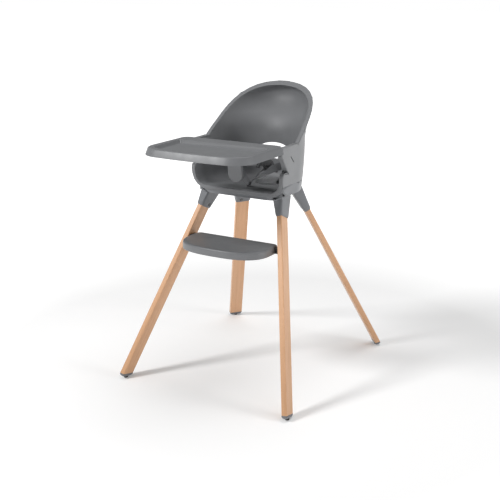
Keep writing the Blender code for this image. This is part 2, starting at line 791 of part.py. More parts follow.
def make_foot(corner):
    """The plastic cap on the leg's end and the pad under it."""
    width, depth = LEG_SECTION
    sizes = ((GAP, 1, 1, LEG_ROUND), (0.0040, 1, 1, LEG_ROUND), (0.0070, 0.95, 0.90, 0.0040),
             (0.0095, 0.80, 0.74, 0.0045), (0.0115, 0.58, 0.50, 0.0040))
    rings = [foot_ring(corner, d, width * w, depth * t, r) for d, w, t, r in sizes]
    cap = part(loft(rings), "foot_cap_" + corner, grey_plastic())
    low = leg_frame(corner)[1] + foot_slope(corner) * sizes[-1][0]
    under = box_mesh((0.1, 0.1, 0.05), (low.x, low.y, PAD[1] + GAP - 0.025))
    boolean(cap, cutter(under, "foot_flat_" + corner))
    part(rod_mesh(PAD[0], (low.x, low.y, 0), (low.x, low.y, PAD[1])), "foot_pad_" + corner, rubber())


# ---------------------------------------------------------------- leg base

BASE_CORNERS = ((1.0, 0.004), (0.62, 0.012), (0.42, 0.030), (0.24, 0.045), (0.0, 0.060))


def base_corners(front):
    """The base's outline in plan, whose front corners grow rounder towards the underside."""
    rings = []
    height = SEAM_Z - BASE_BOTTOM
    for share, radius in BASE_CORNERS:
        z = BASE_BOTTOM + height * share
        half = shell_radius(z)
        rings.append(ring_at(rounded_outline(half + 0.0005, front, 0.2, radius, 0.05), z))
    rings.insert(0, [(x, y, SEAM_Z + 0.01) for x, y, z in rings[0]])
    rings.append([(x, y, BASE_BOTTOM - 0.01) for x, y, z in rings[-1]])
    return loft(rings)


def base_block():
    """The base's solid: the shell's plan, drawn in at its lower edge."""
    edge = BASE_BOTTOM + BASE_EDGE_RISE
    rings = [shell_ring(BASE_BOTTOM, 0, BASE_EDGE_INSET), shell_ring(edge, 0, 0.001)]
    rings += [shell_ring(z, 0) for z in levels(edge + 0.0015, SEAM_Z + 0.01, 3)]
    return loft(rings)


def base_cavity():
    """The hollow in the base, open at the top."""
    low = BASE_BOTTOM + BASE_PLATE
    edge = BASE_BOTTOM + BASE_EDGE_RISE + BASE_PLATE
    rings = [shell_ring(low, BASE_WALL, BASE_EDGE_INSET), shell_ring(edge, BASE_WALL)]
    rings += [shell_ring(z, BASE_WALL) for z in levels(edge + 0.002, SEAM_Z + 0.05, 3)]
    return loft(rings)


def make_leg_base():
    """The cradle under the seat, with a socket for each leg."""
    base = part(base_block(), "leg_base", grey_plastic())
    front = tub_front_y(SEAM_RISE) + FLANGE + GAP
    low_front = tub_front_y(-BASE_DROP) + FLANGE + GAP
    outline = [(low_front, BASE_BOTTOM - 0.01), (front, SEAM_Z - GAP), (FAR, SEAM_Z - GAP), (FAR, BASE_BOTTOM - 0.01)]
    boolean(base, cutter(prism_x(outline), "base_profile"), "INTERSECT")
    boolean(base, cutter(base_corners(low_front), "base_corners"), "INTERSECT")
    seat_space = shell_solid(WALL - INNER_SKIN - GAP, SEAT_LEVEL - INNER_SKIN - GAP, FLOOR_FILLET)
    boolean(base, cutter(seat_space, "base_seat_space"))
    cavity = cutter(base_cavity(), "base_cavity")
    wall = cutter(prism_x([(low_front + BASE_WALL, BASE_BOTTOM), (front + BASE_WALL, SEAM_Z + 0.3),
                           (FAR, SEAM_Z + 0.3), (FAR, BASE_BOTTOM)]), "base_cavity_front")
    boolean(cavity, wall, "INTERSECT")
    boolean_all(base, [make_socket(corner) for corner in CORNERS], "UNION")
    holes = [cavity, cutter(boss_holes_mesh(), "base_screw_holes")]
    for corner in CORNERS:
        holes += socket_holes(corner)
    boolean_all(base, holes)
    return base


def make_socket(corner):
    """The solid around a leg's upper end, spreading towards its root."""
    block = leg_block(corner, socket_top(corner), 0, SOCKET_WALL + SOCKET_GROWTH, SOCKET_WALL)
    socket = cutter(block, "socket_" + corner)
    bevel(socket, SOCKET_ROUND, 2)
    return socket


def socket_holes(corner):
    """Guide solids for the leg's hole, the bolt's hole and the recess for its head."""
    hole = leg_block(corner, leg_top(corner) - HOLE_PLAY, 0.01, HOLE_PLAY, HOLE_PLAY)
    middle, head = bolt_line(corner)
    face = bolt_face(corner)
    bore = rod_mesh(BOLT_RADIUS + HOLE_PLAY, middle, middle + head * (face + 0.02), 20)
    recess = rod_mesh(BOLT_HEAD[0] + 2 * HOLE_PLAY, middle + head * (face - BOLT_HEAD[1] - 3 * GAP),
                      middle + head * (face + 0.02))
    return [cutter(hole, "leg_hole_" + corner), cutter(bore, "bolt_hole_" + corner),
            cutter(recess, "bolt_recess_" + corner)]


# ---------------------------------------------------------------- footrest

def ring_at(points, z):
    return [(x, y, z) for x, y in points]


def footrest_outline(inset):
    """The footrest's D in plan, counter-clockwise from its right rear corner."""
    half = FOOTREST_HALF_WIDTH - inset
    rear = FOOTREST_REAR_Y - inset
    radius = FOOTREST_REAR_CORNER - inset
    points = []
    for side, first in ((1, 0), (-1, 90)):
        for i in range(5):
            angle = math.radians(first + 90 * i / 4)
            points.append((side * (half - radius) + radius * math.cos(angle),
                           rear - radius + radius * math.sin(angle)))
    depth = FOOTREST_SIDE_FRONT_Y - FOOTREST_FRONT_Y - inset
    for i in range(25):
        angle = math.pi * (1 + i / 24)
        points.append((half * signed_power(math.cos(angle), 2 / FOOTREST_POWER),
                       FOOTREST_SIDE_FRONT_Y + depth * signed_power(math.sin(angle), 2 / FOOTREST_POWER)))
    return points


def make_footrest():
    """A D-shaped tread with a skirt, open underneath."""
    top = FOOTREST_TOP
    low = top - FOOTREST_SKIRT
    edge = FOOTREST_EDGE
    rings = [ring_at(footrest_outline(FOOTREST_WALL), low), ring_at(footrest_outline(0), low)]
    for i in range(4):
        angle = math.radians(30 * i)
        rings.append(ring_at(footrest_outline(edge * (1 - math.cos(angle))), top - edge + edge * math.sin(angle)))
    outside = rings[1:]
    inner_top = top - FOOTREST_WALL
    inside = [ring_at(footrest_outline(FOOTREST_WALL), low),
              ring_at(footrest_outline(FOOTREST_WALL), inner_top - 0.003),
              ring_at(footrest_outline(FOOTREST_WALL + 0.003), inner_top)]
    bm = loft(list(reversed(inside)) + outside)
    return part(bm, "footrest", grey_plastic())


def leg_inner_face(side, z):
    """Where a front leg's inner face is at a height: x, and the leg's middle y."""
    corner = "front_left" if side < 0 else "front_right"
    end, foot, down, wide, thick = leg_frame(corner)
    distance = (end.z - z) / -down.z
    middle = end + down * distance
    return middle.x - side * LEG_SECTION[1] / 2 / abs(thick.x), middle.y


def make_footrest_mounts():
    """Blocks between the footrest's ends and the front legs, each held by a bolt."""
    z = FOOTREST_TOP - FOOTREST_WALL - GAP - BRACKET[1] / 2 - 0.001
    for side, label in ((-1, "left"), (1, "right")):
        corner = "front_" + label
        face_x, leg_y = leg_inner_face(side, z)
        inner_x = FOOTREST_HALF_WIDTH + GAP
        outer_x = abs(face_x) + 0.02
        block = box_mesh((outer_x - inner_x, BRACKET[0], BRACKET[1]), (side * (inner_x + outer_x) / 2, leg_y, z))
        bracket = part(block, "footrest_bracket_" + label, dark_plastic())
        leg_space = cutter(leg_block(corner, 0, 0.3, GAP, GAP), "bracket_face_" + label)
        boolean(bracket, leg_space)
        trim = cutter(box_mesh((0.05, 0.1, 0.1), (side * (abs(face_x) + 0.0316), leg_y, z)), "bracket_trim_" + label)
        boolean(bracket, trim)
        bolt_y = leg_y + BRACKET_BOLT_SHIFT
        start = (side * (FOOTREST_HALF_WIDTH - FOOTREST_WALL - 0.0020), bolt_y, z)
        stop = (side * (abs(face_x) + 0.012), bolt_y, z)
        head_end = (side * (FOOTREST_HALF_WIDTH - FOOTREST_WALL - GAP), bolt_y, z)
        bolt = part(rod_mesh(0.0050, start, head_end, 16), "footrest_bolt_" + label, steel())
        inside = (side * (FOOTREST_HALF_WIDTH - FOOTREST_WALL - 0.0010), bolt_y, z)
        boolean(bolt, cutter(rod_mesh(BRACKET_BOLT, inside, stop, 16), "footrest_shank_" + label), "UNION")
        hole = cutter(rod_mesh(BRACKET_BOLT + HOLE_PLAY, (side * 0.1, bolt_y, z),
                               (side * (abs(face_x) + 0.013), bolt_y, z), 16), "footrest_hole_" + label)
        boolean(bracket, hole)
        boolean(bpy.data.objects["leg_" + corner], hole)
        boolean(bpy.data.objects["footrest"], hole)


# ---------------------------------------------------------------- tray

def tray_outline(inset, rear_band=0.0):
    """The tray in plan: straight sides and back, round corners, and a front that bows out."""
    half = TRAY_HALF_WIDTH - inset
    front = TRAY_FRONT_Y + TRAY_BOW + inset
    points = rounded_outline(half, front, TRAY_REAR_Y - inset - rear_band,
                             TRAY_FRONT_CORNER - inset, max(TRAY_REAR_CORNER - inset, 0.004))
    flat = half - TRAY_FRONT_CORNER + inset
    middle = 2 * TRAY_CORNER_STEPS + TRAY_CORNER_STEPS
    across = [(flat * (2 * i / 8 - 1), front) for i in range(1, 8)]
    points = points[:middle] + across + points[middle:]
    return [(x, y - TRAY_BOW * bow_share(x, y, flat, front)) for x, y in points]


def bow_share(x, y, flat, front):
    """How much of the bow a point takes: all at the middle of the front, none at the sides."""
    if y > front + TRAY_FRONT_CORNER:
        return 0.0
    share = min(1.0, abs(x) / (flat + TRAY_FRONT_CORNER))
    return math.cos(share * math.pi / 2) ** 1.5


def make_tray():
    """Serving tray: a dish in a flat rim, a sloping skirt, and two prongs for the armrests."""
    band = TRAY_REAR_BAND
    dish = TRAY_TOP - TRAY_DISH
    skin = TRAY_WALL
    rim_edge = TRAY_DRAFT + TRAY_RIM
    top_side = [
        ring_at(tray_outline(0), TRAY_BOTTOM),
        ring_at(tray_outline(TRAY_DRAFT * 0.7), TRAY_TOP - 0.003),
        ring_at(tray_outline(TRAY_DRAFT), TRAY_TOP - 0.0008),
        ring_at(tray_outline(TRAY_DRAFT + 0.0025), TRAY_TOP),
        ring_at(tray_outline(rim_edge, band), TRAY_TOP),
        ring_at(tray_outline(rim_edge + 0.003, band), TRAY_TOP - 0.0015),
        ring_at(tray_outline(rim_edge + 0.008, band), dish + 0.0015),
        ring_at(tray_outline(rim_edge + 0.012, band), dish),
    ]
    under_side = [
        ring_at(tray_outline(rim_edge + 0.012 - skin / 2, band), dish - skin),
        ring_at(tray_outline(rim_edge + 0.002 - skin / 2, band), TRAY_TOP - skin),
        ring_at(tray_outline(TRAY_DRAFT + skin), TRAY_TOP - skin),
        ring_at(tray_outline(skin), TRAY_BOTTOM),
    ]
    tray = part(loft(under_side + top_side), "tray", grey_plastic())
    x = prong_x()
    relief_size = (WALL + 4 * ARM_RELIEF, 0.05, ARM_RELIEF + ARM_TOP - TRAY_BOTTOM + 0.02)
    low = prong_low()
    front = TRAY_REAR_Y - 0.050
    back = TRAY_REAR_Y + PRONG_LENGTH
    for side in (-1, 1):
        size = (PRONG_THICKNESS, back - front, PRONG_HEIGHT)
        prong = box_mesh(size, (side * x, (front + back) / 2, low + PRONG_HEIGHT / 2))
        web = box_mesh((PRONG_THICKNESS, 0.040, TRAY_TOP - skin / 2 - low - 0.002),
                       (side * x, front + 0.021, (TRAY_TOP - skin / 2 + low + 0.002) / 2))
        label = "left" if side < 0 else "right"
        relief_centre = (side * (SHELL_HALF_WIDTH - WALL / 2), ARM_FRONT_Y - ARM_RELIEF * 4 + 0.025,
                         ARM_TOP + ARM_RELIEF - relief_size[2] / 2)
        boolean(tray, cutter(box_mesh(relief_size, relief_centre), "arm_relief_" + label))
        boolean(tray, cutter(prong, "prong_" + label), "UNION")
        boolean(tray, cutter(web, "prong_web_" + label), "UNION")
        window = box_mesh((PRONG_THICKNESS * 3, LATCH[1] + 0.0008, LATCH[2] + 0.0008),
                          (side * x, LATCH_Y, low + PRONG_HEIGHT / 2))
        boolean(tray, cutter(window, "latch_window_" + label))
    for i, (px, py) in enumerate(post_screw_places()):
        hole = rod_mesh(SCREW_RADIUS + HOLE_PLAY, (px, py, TRAY_TOP - 0.03), (px, py, TRAY_TOP - 0.0012), 16)
        boss = rod_mesh(0.0050, (px, py, POST_TOP + GAP), (px, py, TRAY_TOP - skin / 2), 20)
        boolean(tray, cutter(boss, f"post_boss_{i}"), "UNION")
        boolean(tray, cutter(hole, f"post_hole_{i}"))
    return tray


def prong_x():
    """Middle of the space between the armrest's two skins."""
    inner = SHELL_HALF_WIDTH - WALL + INNER_SKIN
    outer = SHELL_HALF_WIDTH - OUTER_SKIN
    return (inner + outer) / 2


def prong_low():
    return CAP_UNDERSIDE - 0.0010 - PRONG_HEIGHT


def cut_prong_slots(tub):
    """Openings in the tub's front rims for the prongs, and windows for the latches."""
    x = prong_x()
    low = prong_low() - LEVER_HEIGHT - 0.0012
    for side, label in ((-1, "left"), (1, "right")):
        height = CAP_UNDERSIDE - low + 0.001
        slot = box_mesh((PRONG_THICKNESS + 0.0008, 0.03, height), (side * x, ARM_FRONT_Y, low + height / 2))
        boolean(tub, cutter(slot, "prong_slot_" + label))
        window = box_mesh((0.012, LATCH[1] + 0.0012, LATCH[2] + 0.0012),
                          (side * (x - PRONG_THICKNESS / 2 - 0.005), LATCH_Y, prong_low() + PRONG_HEIGHT / 2))
        boolean(tub, cutter(window, "catch_window_" + label))


def make_latches():
    """Catches in the prongs, drawn in, beside their windows in the armrests' inner skins."""
    x = prong_x()
    inner = SHELL_HALF_WIDTH - WALL + INNER_SKIN
    centre_x = inner + LATCH_PLAY + LATCH[0] / 2
    z = prong_low() + PRONG_HEIGHT / 2
    for side, label in ((-1, "left"), (1, "right")):
        latch = part(box_mesh(LATCH), "tray_latch_" + label, dark_plastic())
        latch.location = (side * centre_x, LATCH_Y, z)
        bevel(latch, 0.0006, 1)
    return x


def make_release_lever():
    """A lock yoke under the tray: a bar at the front and an arm along each side."""
    x = prong_x()
    top = prong_low() - 0.0004
    low = top - LEVER_HEIGHT
    z = (top + low) / 2
    bar_y = TRAY_FRONT_Y + 0.042
    arm_half = 0.0022
    outer = x + arm_half
    corner = 0.050
    outline = []
    for i in range(8):
        angle = math.radians(180 + 90 * i / 7)
        outline.append((-outer + corner + corner * math.cos(angle), bar_y + corner + corner * math.sin(angle)))
    outline += [(-x, y) for x, y in reversed(outline)]
    left_arm = [(-outer, LEVER_REAR_Y)]
    outside = left_arm + outline + [(outer, LEVER_REAR_Y)]
    inset = 2 * arm_half
    inner_corner = corner - inset
    inner = [(outer - inset, LEVER_REAR_Y)]
    for i in range(8):
        angle = math.radians(360 - 90 * i / 7)
        inner.append((outer - corner + inner_corner * math.cos(angle), bar_y + corner + inner_corner * math.sin(angle)))
    inner += [(-x, y) for x, y in reversed(inner[1:])]
    inner.append((-outer + inset, LEVER_REAR_Y))
    shape = outside + inner
    lever = part(loft([[(px, py, low - z) for px, py in shape], [(px, py, top - z) for px, py in shape]]),
                 "tray_lock_slider", dark_plastic())
    lever.location = (0, 0, z)
    grip = box_mesh((0.080, 0.016, LEVER_HEIGHT), (0, bar_y + 0.008, z))
    boolean(lever, cutter(grip, "lever_grip"), "UNION")
    return lever


# ---------------------------------------------------------------- crotch post

POST_TOP = TRAY_BOTTOM - GAP


def post_screw_places():
    return ((-0.012, POST_TOP_Y - 0.001), (0.012, POST_TOP_Y - 0.001))


def make_crotch_post():
    """The tongue under the tray's back edge, rounded at its foot."""
    low = SEAT_LEVEL + POST_BOTTOM_RISE
    half = POST_WIDTH / 2
    outline = [(-half - 0.004, POST_TOP), (-half, POST_TOP - 0.030)]
    for i in range(11):
        angle = math.radians(180 + 180 * i / 10)
        outline.append((half * math.cos(angle), low + half * 0.9 + half * 0.9 * math.sin(angle)))
    outline += [(half, POST_TOP - 0.030), (half + 0.004, POST_TOP)]
    thick = POST_THICKNESS / 2

    def post_y(z):
        share = (POST_TOP - z) / (POST_TOP - low)
        return POST_TOP_Y + (POST_BOTTOM_Y - POST_TOP_Y) * share

    bm = loft([[(x, post_y(z) - thick, z) for x, z in outline], [(x, post_y(z) + thick, z) for x, z in outline]])
    post = part(bm, "crotch_post", grey_plastic())
    bevel(post, 0.002, 2, 40)
    return post


def make_post_screws():
    """Screws up from the post into the tray's bosses."""
    for label, (x, y) in zip(("left", "right"), post_screw_places()):
        shank = rod_mesh(SCREW_RADIUS, (x, y, POST_TOP - 0.014), (x, y, TRAY_TOP - 0.0020), 16)
        part(shank, "crotch_post_screw_" + label, steel())
        hole = rod_mesh(SCREW_RADIUS + HOLE_PLAY, (x, y, POST_TOP - 0.015), (x, y, POST_TOP + 0.01), 16)
        boolean(bpy.data.objects["crotch_post"], cutter(hole, "post_pilot_" + label))


# ---------------------------------------------------------------- harness

def buckle_centre():
    return Vector((BUCKLE_CENTRE[0], BUCKLE_CENTRE[1], SEAT_LEVEL + BUCKLE_CENTRE[2]))


def strap_anchor(side):
    """Where a waist strap leaves its slot, inside the seat."""
    inside = SHELL_HALF_WIDTH - WALL - 0.0020
    return Vector((side * inside, SLOT_CENTRE[0], SEAT_LEVEL + SLOT_CENTRE[1] - 0.012))


def strap_line(side):
    """The buckle's edge, and the level direction out to the strap's anchor."""
    centre = buckle_centre()
    anchor = strap_anchor(side)
    out = Vector(BUCKLE_FACING).normalized()
    along = anchor - centre
    along = (along - out * along.dot(out)).normalized()
    return centre, anchor, along


def strap_turn(along):
    """Axes along a strap, across it, and out of its face."""
    face = Vector(BUCKLE_FACING)
    across = face.cross(along).normalized()
    out = along.cross(across).normalized()
    return Matrix((along, across, out)).transposed()


def make_buckle():
    """A round buckle with a push button; both tongues plug into its edge."""
    centre = buckle_centre()
    out = Vector(BUCKLE_FACING).normalized()
    half = BUCKLE_THICKNESS / 2
    body = part(rod_mesh(BUCKLE_RADIUS, centre - out * half, centre + out * half, 32), "buckle_body", dark_plastic())
    bevel(body, 0.0015, 2)
    well = rod_mesh(BUTTON_RADIUS + 0.0004, centre + out * 0.0005, centre + out * 0.02, 28)
    boolean(body, cutter(well, "button_well"))
    for side, label in ((-1, "left"), (1, "right")):
        along = strap_line(side)[2]
        turn = strap_turn(along)
        slot = box_mesh((0.012, 0.0150, 0.0034), centre + along * (BUCKLE_RADIUS - 0.0035) - out * 0.0030, turn)
        boolean(body, cutter(slot, "tongue_slot_" + label))
    button_mesh = rod_mesh(BUTTON_RADIUS, out * 0.0, out * 0.0048, 28)
    button = part(button_mesh, "buckle_button", grey_plastic())
    button.location = centre + out * (0.0005 + BUTTON_TRAVEL + 0.0003)
    return body


def make_straps():
    """Tongues, adjusters and the waist straps on each side."""
    centre = buckle_centre()
    out = Vector(BUCKLE_FACING).normalized()
    for side, label in ((-1, "left"), (1, "right")):
        anchor = strap_anchor(side)
        along = strap_line(side)[2]
        turn = strap_turn(along)
        origin = centre + along * (BUCKLE_RADIUS - 0.0080) - out * 0.0030
        blade = box_mesh((0.015, 0.0126, 0.0020), along * 0.0085 + origin, turn)
        head_x = 0.0145 + (TONGUE_LENGTH - 0.0145) / 2
        tongue = part(box_mesh((TONGUE_LENGTH - 0.0145, 0.030, 0.0040)), "buckle_tongue_" + label, dark_plastic())
        tongue.matrix_local = Matrix.Translation(origin + along * head_x) @ turn.to_4x4()
        boolean(tongue, cutter(blade, "tongue_blade_" + label), "UNION")
        strap_slot = box_mesh((0.0035, 0.026, 0.02), origin + along * (TONGUE_LENGTH - 0.0055), turn)
        boolean(tongue, cutter(strap_slot, "tongue_strap_slot_" + label))
        first = origin + along * (TONGUE_LENGTH + TONGUE_TRAVEL + 0.0010)
        last = anchor - (anchor - first).normalized() * STRAP_END_GAP
        run = (last - first).normalized()
        strap_turned = strap_turn(run)
        length = (last - first).length
        strap = box_mesh((length, WEBBING[0], WEBBING[1]), (first + last) / 2, strap_turned)
        part(strap, "waist_strap_" + label, webbing())
        place = first + (last - first) * 0.45
        frame = part(box_mesh(ADJUSTER[1::-1] + ADJUSTER[2:]), "strap_adjuster_" + label, dark_plastic())
        frame.matrix_local = Matrix.Translation(place) @ strap_turned.to_4x4()
        tunnel = box_mesh((ADJUSTER[1] * 2, WEBBING[0] + 0.002, WEBBING[1] + 0.0016), place, strap_turned)
        boolean(frame, cutter(tunnel, "adjuster_tunnel_" + label))
        for offset in (-0.0045, 0.0045):
            eye = box_mesh((0.0045, WEBBING[0] + 0.001, 0.02), place + run * offset, strap_turned)
            boolean(frame, cutter(eye, f"adjuster_eye_{label}_{offset > 0}"))


def make_crotch_strap():
    """Webbing from the seat floor to the buckle, in a padded sleeve."""
    centre = buckle_centre()
    foot = Vector((0.0, -0.045, 0))
    foot.z = floor_z(foot.y) + GAP
    out = Vector(BUCKLE_FACING).normalized()
    hook = centre - out * (BUCKLE_THICKNESS / 2 + WEBBING[1] / 2 + 0.0016)
    run = [foot + Vector((0, 0, 0.001)), foot + Vector((0.004, 0.0, 0.012)), hook - Vector((0.012, 0.0, 0.004)),
           hook]
    level_across = Vector((0, 1, -FLOOR_FALL)).normalized()
    tilted_across = out.cross(Vector((1, 0, 0))).normalized()
    rings = []
    for i, point in enumerate(run):
        tangent = (run[min(i + 1, len(run) - 1)] - run[max(i - 1, 0)]).normalized()
        across = (level_across if i < 2 else tilted_across)
        face = across.cross(tangent).normalized()
        half_w = across * WEBBING[0] / 2
        half_t = face * WEBBING[1] / 2
        rings.append([point + half_w + half_t, point - half_w + half_t, point - half_w - half_t,
                      point + half_w - half_t])
    return part(loft(rings), "crotch_strap", webbing())


def make_crotch_pad():
    """The padded sleeve of the crotch strap, lying on the seat."""
    low, high = (Vector((x, y, SEAT_LEVEL + rise)) for x, y, rise in PAD_ENDS)
    along = (high - low).normalized()
    across = Vector((0, 1, 0))
    across = (across - along * along.y).normalized()
    face = along.cross(across).normalized()
    rings = []
    for place, fullness in ((0.0, 0.62), (0.04, 0.84), (0.14, 0.97), (0.5, 1.0), (0.86, 0.93), (0.96, 0.76), (1.0, 0.5)):
        middle = low.lerp(high, place)
        ring = []
        for i in range(20):
            angle = 2 * math.pi * i / 20
            ring.append(middle + across * PAD_HALF[0] * fullness * math.cos(angle)
                        + face * PAD_HALF[1] * fullness * math.sin(angle))
        rings.append(ring)
    return part(loft(rings), "crotch_pad", pad_fabric())


tub = make_seat_tub()
outer_shell = make_outer_shell()
backrest = make_backrest()
cover = make_backrest_cover()
screw_holes = cover_holes()
boolean(backrest, screw_holes)
boolean(cover, screw_holes)
make_cover_screws()
cut_rear_opening(tub, outer_shell, backrest)
cut_harness_slots(tub, outer_shell)
cut_notch_slits(tub, outer_shell)
make_seat_screws()
make_legs()
make_leg_base()
make_footrest()
make_footrest_mounts()
make_tray()
cut_prong_slots(tub)
make_latches()
make_release_lever()
make_crotch_post()
make_post_screws()
make_buckle()
make_straps()
make_crotch_strap()
make_crotch_pad()
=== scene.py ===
"""Baby high chair: hooded grey shell, slide-in tray, beech legs, footrest and waist harness."""
import json
import math

import bmesh
import bpy
import numpy as np
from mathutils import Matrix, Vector
from mathutils.bvhtree import BVHTree


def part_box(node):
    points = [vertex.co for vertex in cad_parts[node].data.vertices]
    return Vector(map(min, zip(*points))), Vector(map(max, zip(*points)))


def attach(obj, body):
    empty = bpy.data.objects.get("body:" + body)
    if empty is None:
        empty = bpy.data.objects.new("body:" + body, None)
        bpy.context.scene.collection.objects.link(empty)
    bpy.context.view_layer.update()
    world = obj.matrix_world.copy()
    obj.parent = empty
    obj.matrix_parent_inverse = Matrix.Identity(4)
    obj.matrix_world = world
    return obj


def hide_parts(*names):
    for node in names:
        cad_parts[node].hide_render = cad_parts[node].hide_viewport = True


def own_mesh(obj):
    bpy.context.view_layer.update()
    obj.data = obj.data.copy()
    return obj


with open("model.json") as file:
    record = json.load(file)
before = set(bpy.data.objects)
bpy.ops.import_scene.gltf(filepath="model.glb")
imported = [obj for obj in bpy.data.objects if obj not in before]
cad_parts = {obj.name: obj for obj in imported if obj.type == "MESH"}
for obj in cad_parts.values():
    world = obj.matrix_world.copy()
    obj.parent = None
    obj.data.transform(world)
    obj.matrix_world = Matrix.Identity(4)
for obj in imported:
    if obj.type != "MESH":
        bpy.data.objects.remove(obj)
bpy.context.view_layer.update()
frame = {"nodes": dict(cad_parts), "record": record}
nodes = frame["nodes"]


# ------------------------------------------------------------ shader groups

def new_group(name, inputs, outputs):
    """A shader node group with named sockets, and its input and output nodes."""
    tree = bpy.data.node_groups.new(name, "ShaderNodeTree")
    for label, kind, value in inputs:
        socket = tree.interface.new_socket(label, in_out="INPUT", socket_type=kind)
        if value is not None:
            socket.default_value = value
    for label, kind in outputs:
        tree.interface.new_socket(label, in_out="OUTPUT", socket_type=kind)
    return tree, tree.nodes.new("NodeGroupInput"), tree.nodes.new("NodeGroupOutput")


def node(tree, kind, **settings):
    """A node with some of its settings."""
    made = tree.nodes.new(kind)
    for name, value in settings.items():
        setattr(made, name, value)
    return made


def link(tree, source, target):
    """Joins two sockets."""
    tree.links.new(source, target)


def noise(tree, vector, scale, detail, roughness):
    """Soft noise over a vector."""
    made = node(tree, "ShaderNodeTexNoise")
    made.inputs["Scale"].default_value = scale
    made.inputs["Detail"].default_value = detail
    made.inputs["Roughness"].default_value = roughness
    link(tree, vector, made.inputs["Vector"])
    return made.outputs["Fac"]


def remap(tree, source, low, high, to_low, to_high):
    """Stretches one range of values onto another."""
    made = node(tree, "ShaderNodeMapRange")
    made.inputs["From Min"].default_value = low
    made.inputs["From Max"].default_value = high
    made.inputs["To Min"].default_value = to_low
    made.inputs["To Max"].default_value = to_high
    link(tree, source, made.inputs["Value"])
    return made.outputs["Result"]


def maths(tree, operation, first, second):
    """One sum of two values or sockets."""
    made = node(tree, "ShaderNodeMath", operation=operation)
    for i, value in enumerate((first, second)):
        if isinstance(value, (int, float)):
            made.inputs[i].default_value = value
        else:
            link(tree, value, made.inputs[i])
    return made.outputs[0]


def mix_colors(tree, share, first, second):
    """One colour blended into another."""
    made = node(tree, "ShaderNodeMix", data_type="RGBA")
    for socket, value in ((made.inputs[0], share), (made.inputs[6], first), (made.inputs[7], second)):
        if hasattr(value, "links"):
            link(tree, value, socket)
        else:
            socket.default_value = value if isinstance(value, float) else (*value, 1)
    return made.outputs[2]


def build_moulded_grain():
    """Moulded plastic: a fine leathery grain, faint flow mottling and rubbed patches."""
    tree, given, result = new_group(
        "moulded_grain",
        [("Vector", "NodeSocketVector", None), ("Color", "NodeSocketColor", (0.2, 0.2, 0.2, 1)),
         ("Roughness", "NodeSocketFloat", 0.45), ("Grain", "NodeSocketFloat", 1600.0)],
        [("Color", "NodeSocketColor"), ("Roughness", "NodeSocketFloat"), ("Height", "NodeSocketFloat")])
    vector = given.outputs["Vector"]
    fine = node(tree, "ShaderNodeTexVoronoi", feature="SMOOTH_F1")
    fine.inputs["Smoothness"].default_value = 0.6
    link(tree, vector, fine.inputs["Vector"])
    link(tree, given.outputs["Grain"], fine.inputs["Scale"])
    soft = noise(tree, vector, 900.0, 3.0, 0.6)
    flow = noise(tree, vector, 7.0, 3.0, 0.55)
    rubbed = noise(tree, vector, 24.0, 4.0, 0.6)
    height = maths(tree, "ADD", fine.outputs["Distance"], maths(tree, "MULTIPLY", soft, 0.8))
    link(tree, height, result.inputs["Height"])
    shade = remap(tree, flow, 0.3, 0.7, 0.955, 1.045)
    scaled = node(tree, "ShaderNodeVectorMath", operation="SCALE")
    link(tree, given.outputs["Color"], scaled.inputs[0])
    link(tree, shade, scaled.inputs["Scale"])
    link(tree, scaled.outputs[0], result.inputs["Color"])
    change = remap(tree, rubbed, 0.35, 0.72, -0.05, 0.06)
    link(tree, maths(tree, "ADD", given.outputs["Roughness"], change), result.inputs["Roughness"])
    return tree


def build_beech_figure():
    """Beech along the local Z axis: soft growth bands, fibres, and short dark flecks."""
    tree, given, result = new_group(
        "beech_figure",
        [("Vector", "NodeSocketVector", None), ("Light", "NodeSocketColor", (0.70, 0.46, 0.29, 1)),
         ("Dark", "NodeSocketColor", (0.58, 0.35, 0.20, 1))],
        [("Color", "NodeSocketColor"), ("Roughness", "NodeSocketFloat"), ("Height", "NodeSocketFloat")])

    def stretched(x, y, z):
        made = node(tree, "ShaderNodeVectorMath", operation="MULTIPLY")
        made.inputs[1].default_value = (x, y, z)
        link(tree, given.outputs["Vector"], made.inputs[0])
        return made.outputs[0]

    bands = noise(tree, stretched(1, 1, 0.03), 95.0, 3.0, 0.55)
    drift = noise(tree, stretched(1, 1, 0.25), 14.0, 2.0, 0.5)
    fibres = noise(tree, stretched(1, 1, 0.022), 1500.0, 3.0, 0.65)
    flecks = node(tree, "ShaderNodeTexVoronoi", feature="F1")
    flecks.inputs["Scale"].default_value = 620.0
    flecks.inputs["Randomness"].default_value = 0.95
    link(tree, stretched(1, 1, 0.22), flecks.inputs["Vector"])
    fleck_mask = remap(tree, flecks.outputs["Distance"], 0.16, 0.24, 1.0, 0.0)
    figure = maths(tree, "ADD", maths(tree, "MULTIPLY", bands, 0.62), maths(tree, "MULTIPLY", drift, 0.38))
    share = remap(tree, figure, 0.36, 0.64, 0.0, 1.0)
    tone = mix_colors(tree, share, given.outputs["Light"], given.outputs["Dark"])
    fibre_share = remap(tree, fibres, 0.38, 0.66, 0.0, 0.30)
    tone = mix_colors(tree, fibre_share, tone, given.outputs["Dark"])
    fleck_share = maths(tree, "MULTIPLY", fleck_mask, 0.34)
    tone = mix_colors(tree, fleck_share, tone, (0.36, 0.19, 0.10))
    link(tree, tone, result.inputs["Color"])
    link(tree, remap(tree, fibres, 0.3, 0.7, 0.40, 0.52), result.inputs["Roughness"])
    link(tree, maths(tree, "SUBTRACT", fibres, maths(tree, "MULTIPLY", fleck_mask, 0.25)),
         result.inputs["Height"])
    return tree


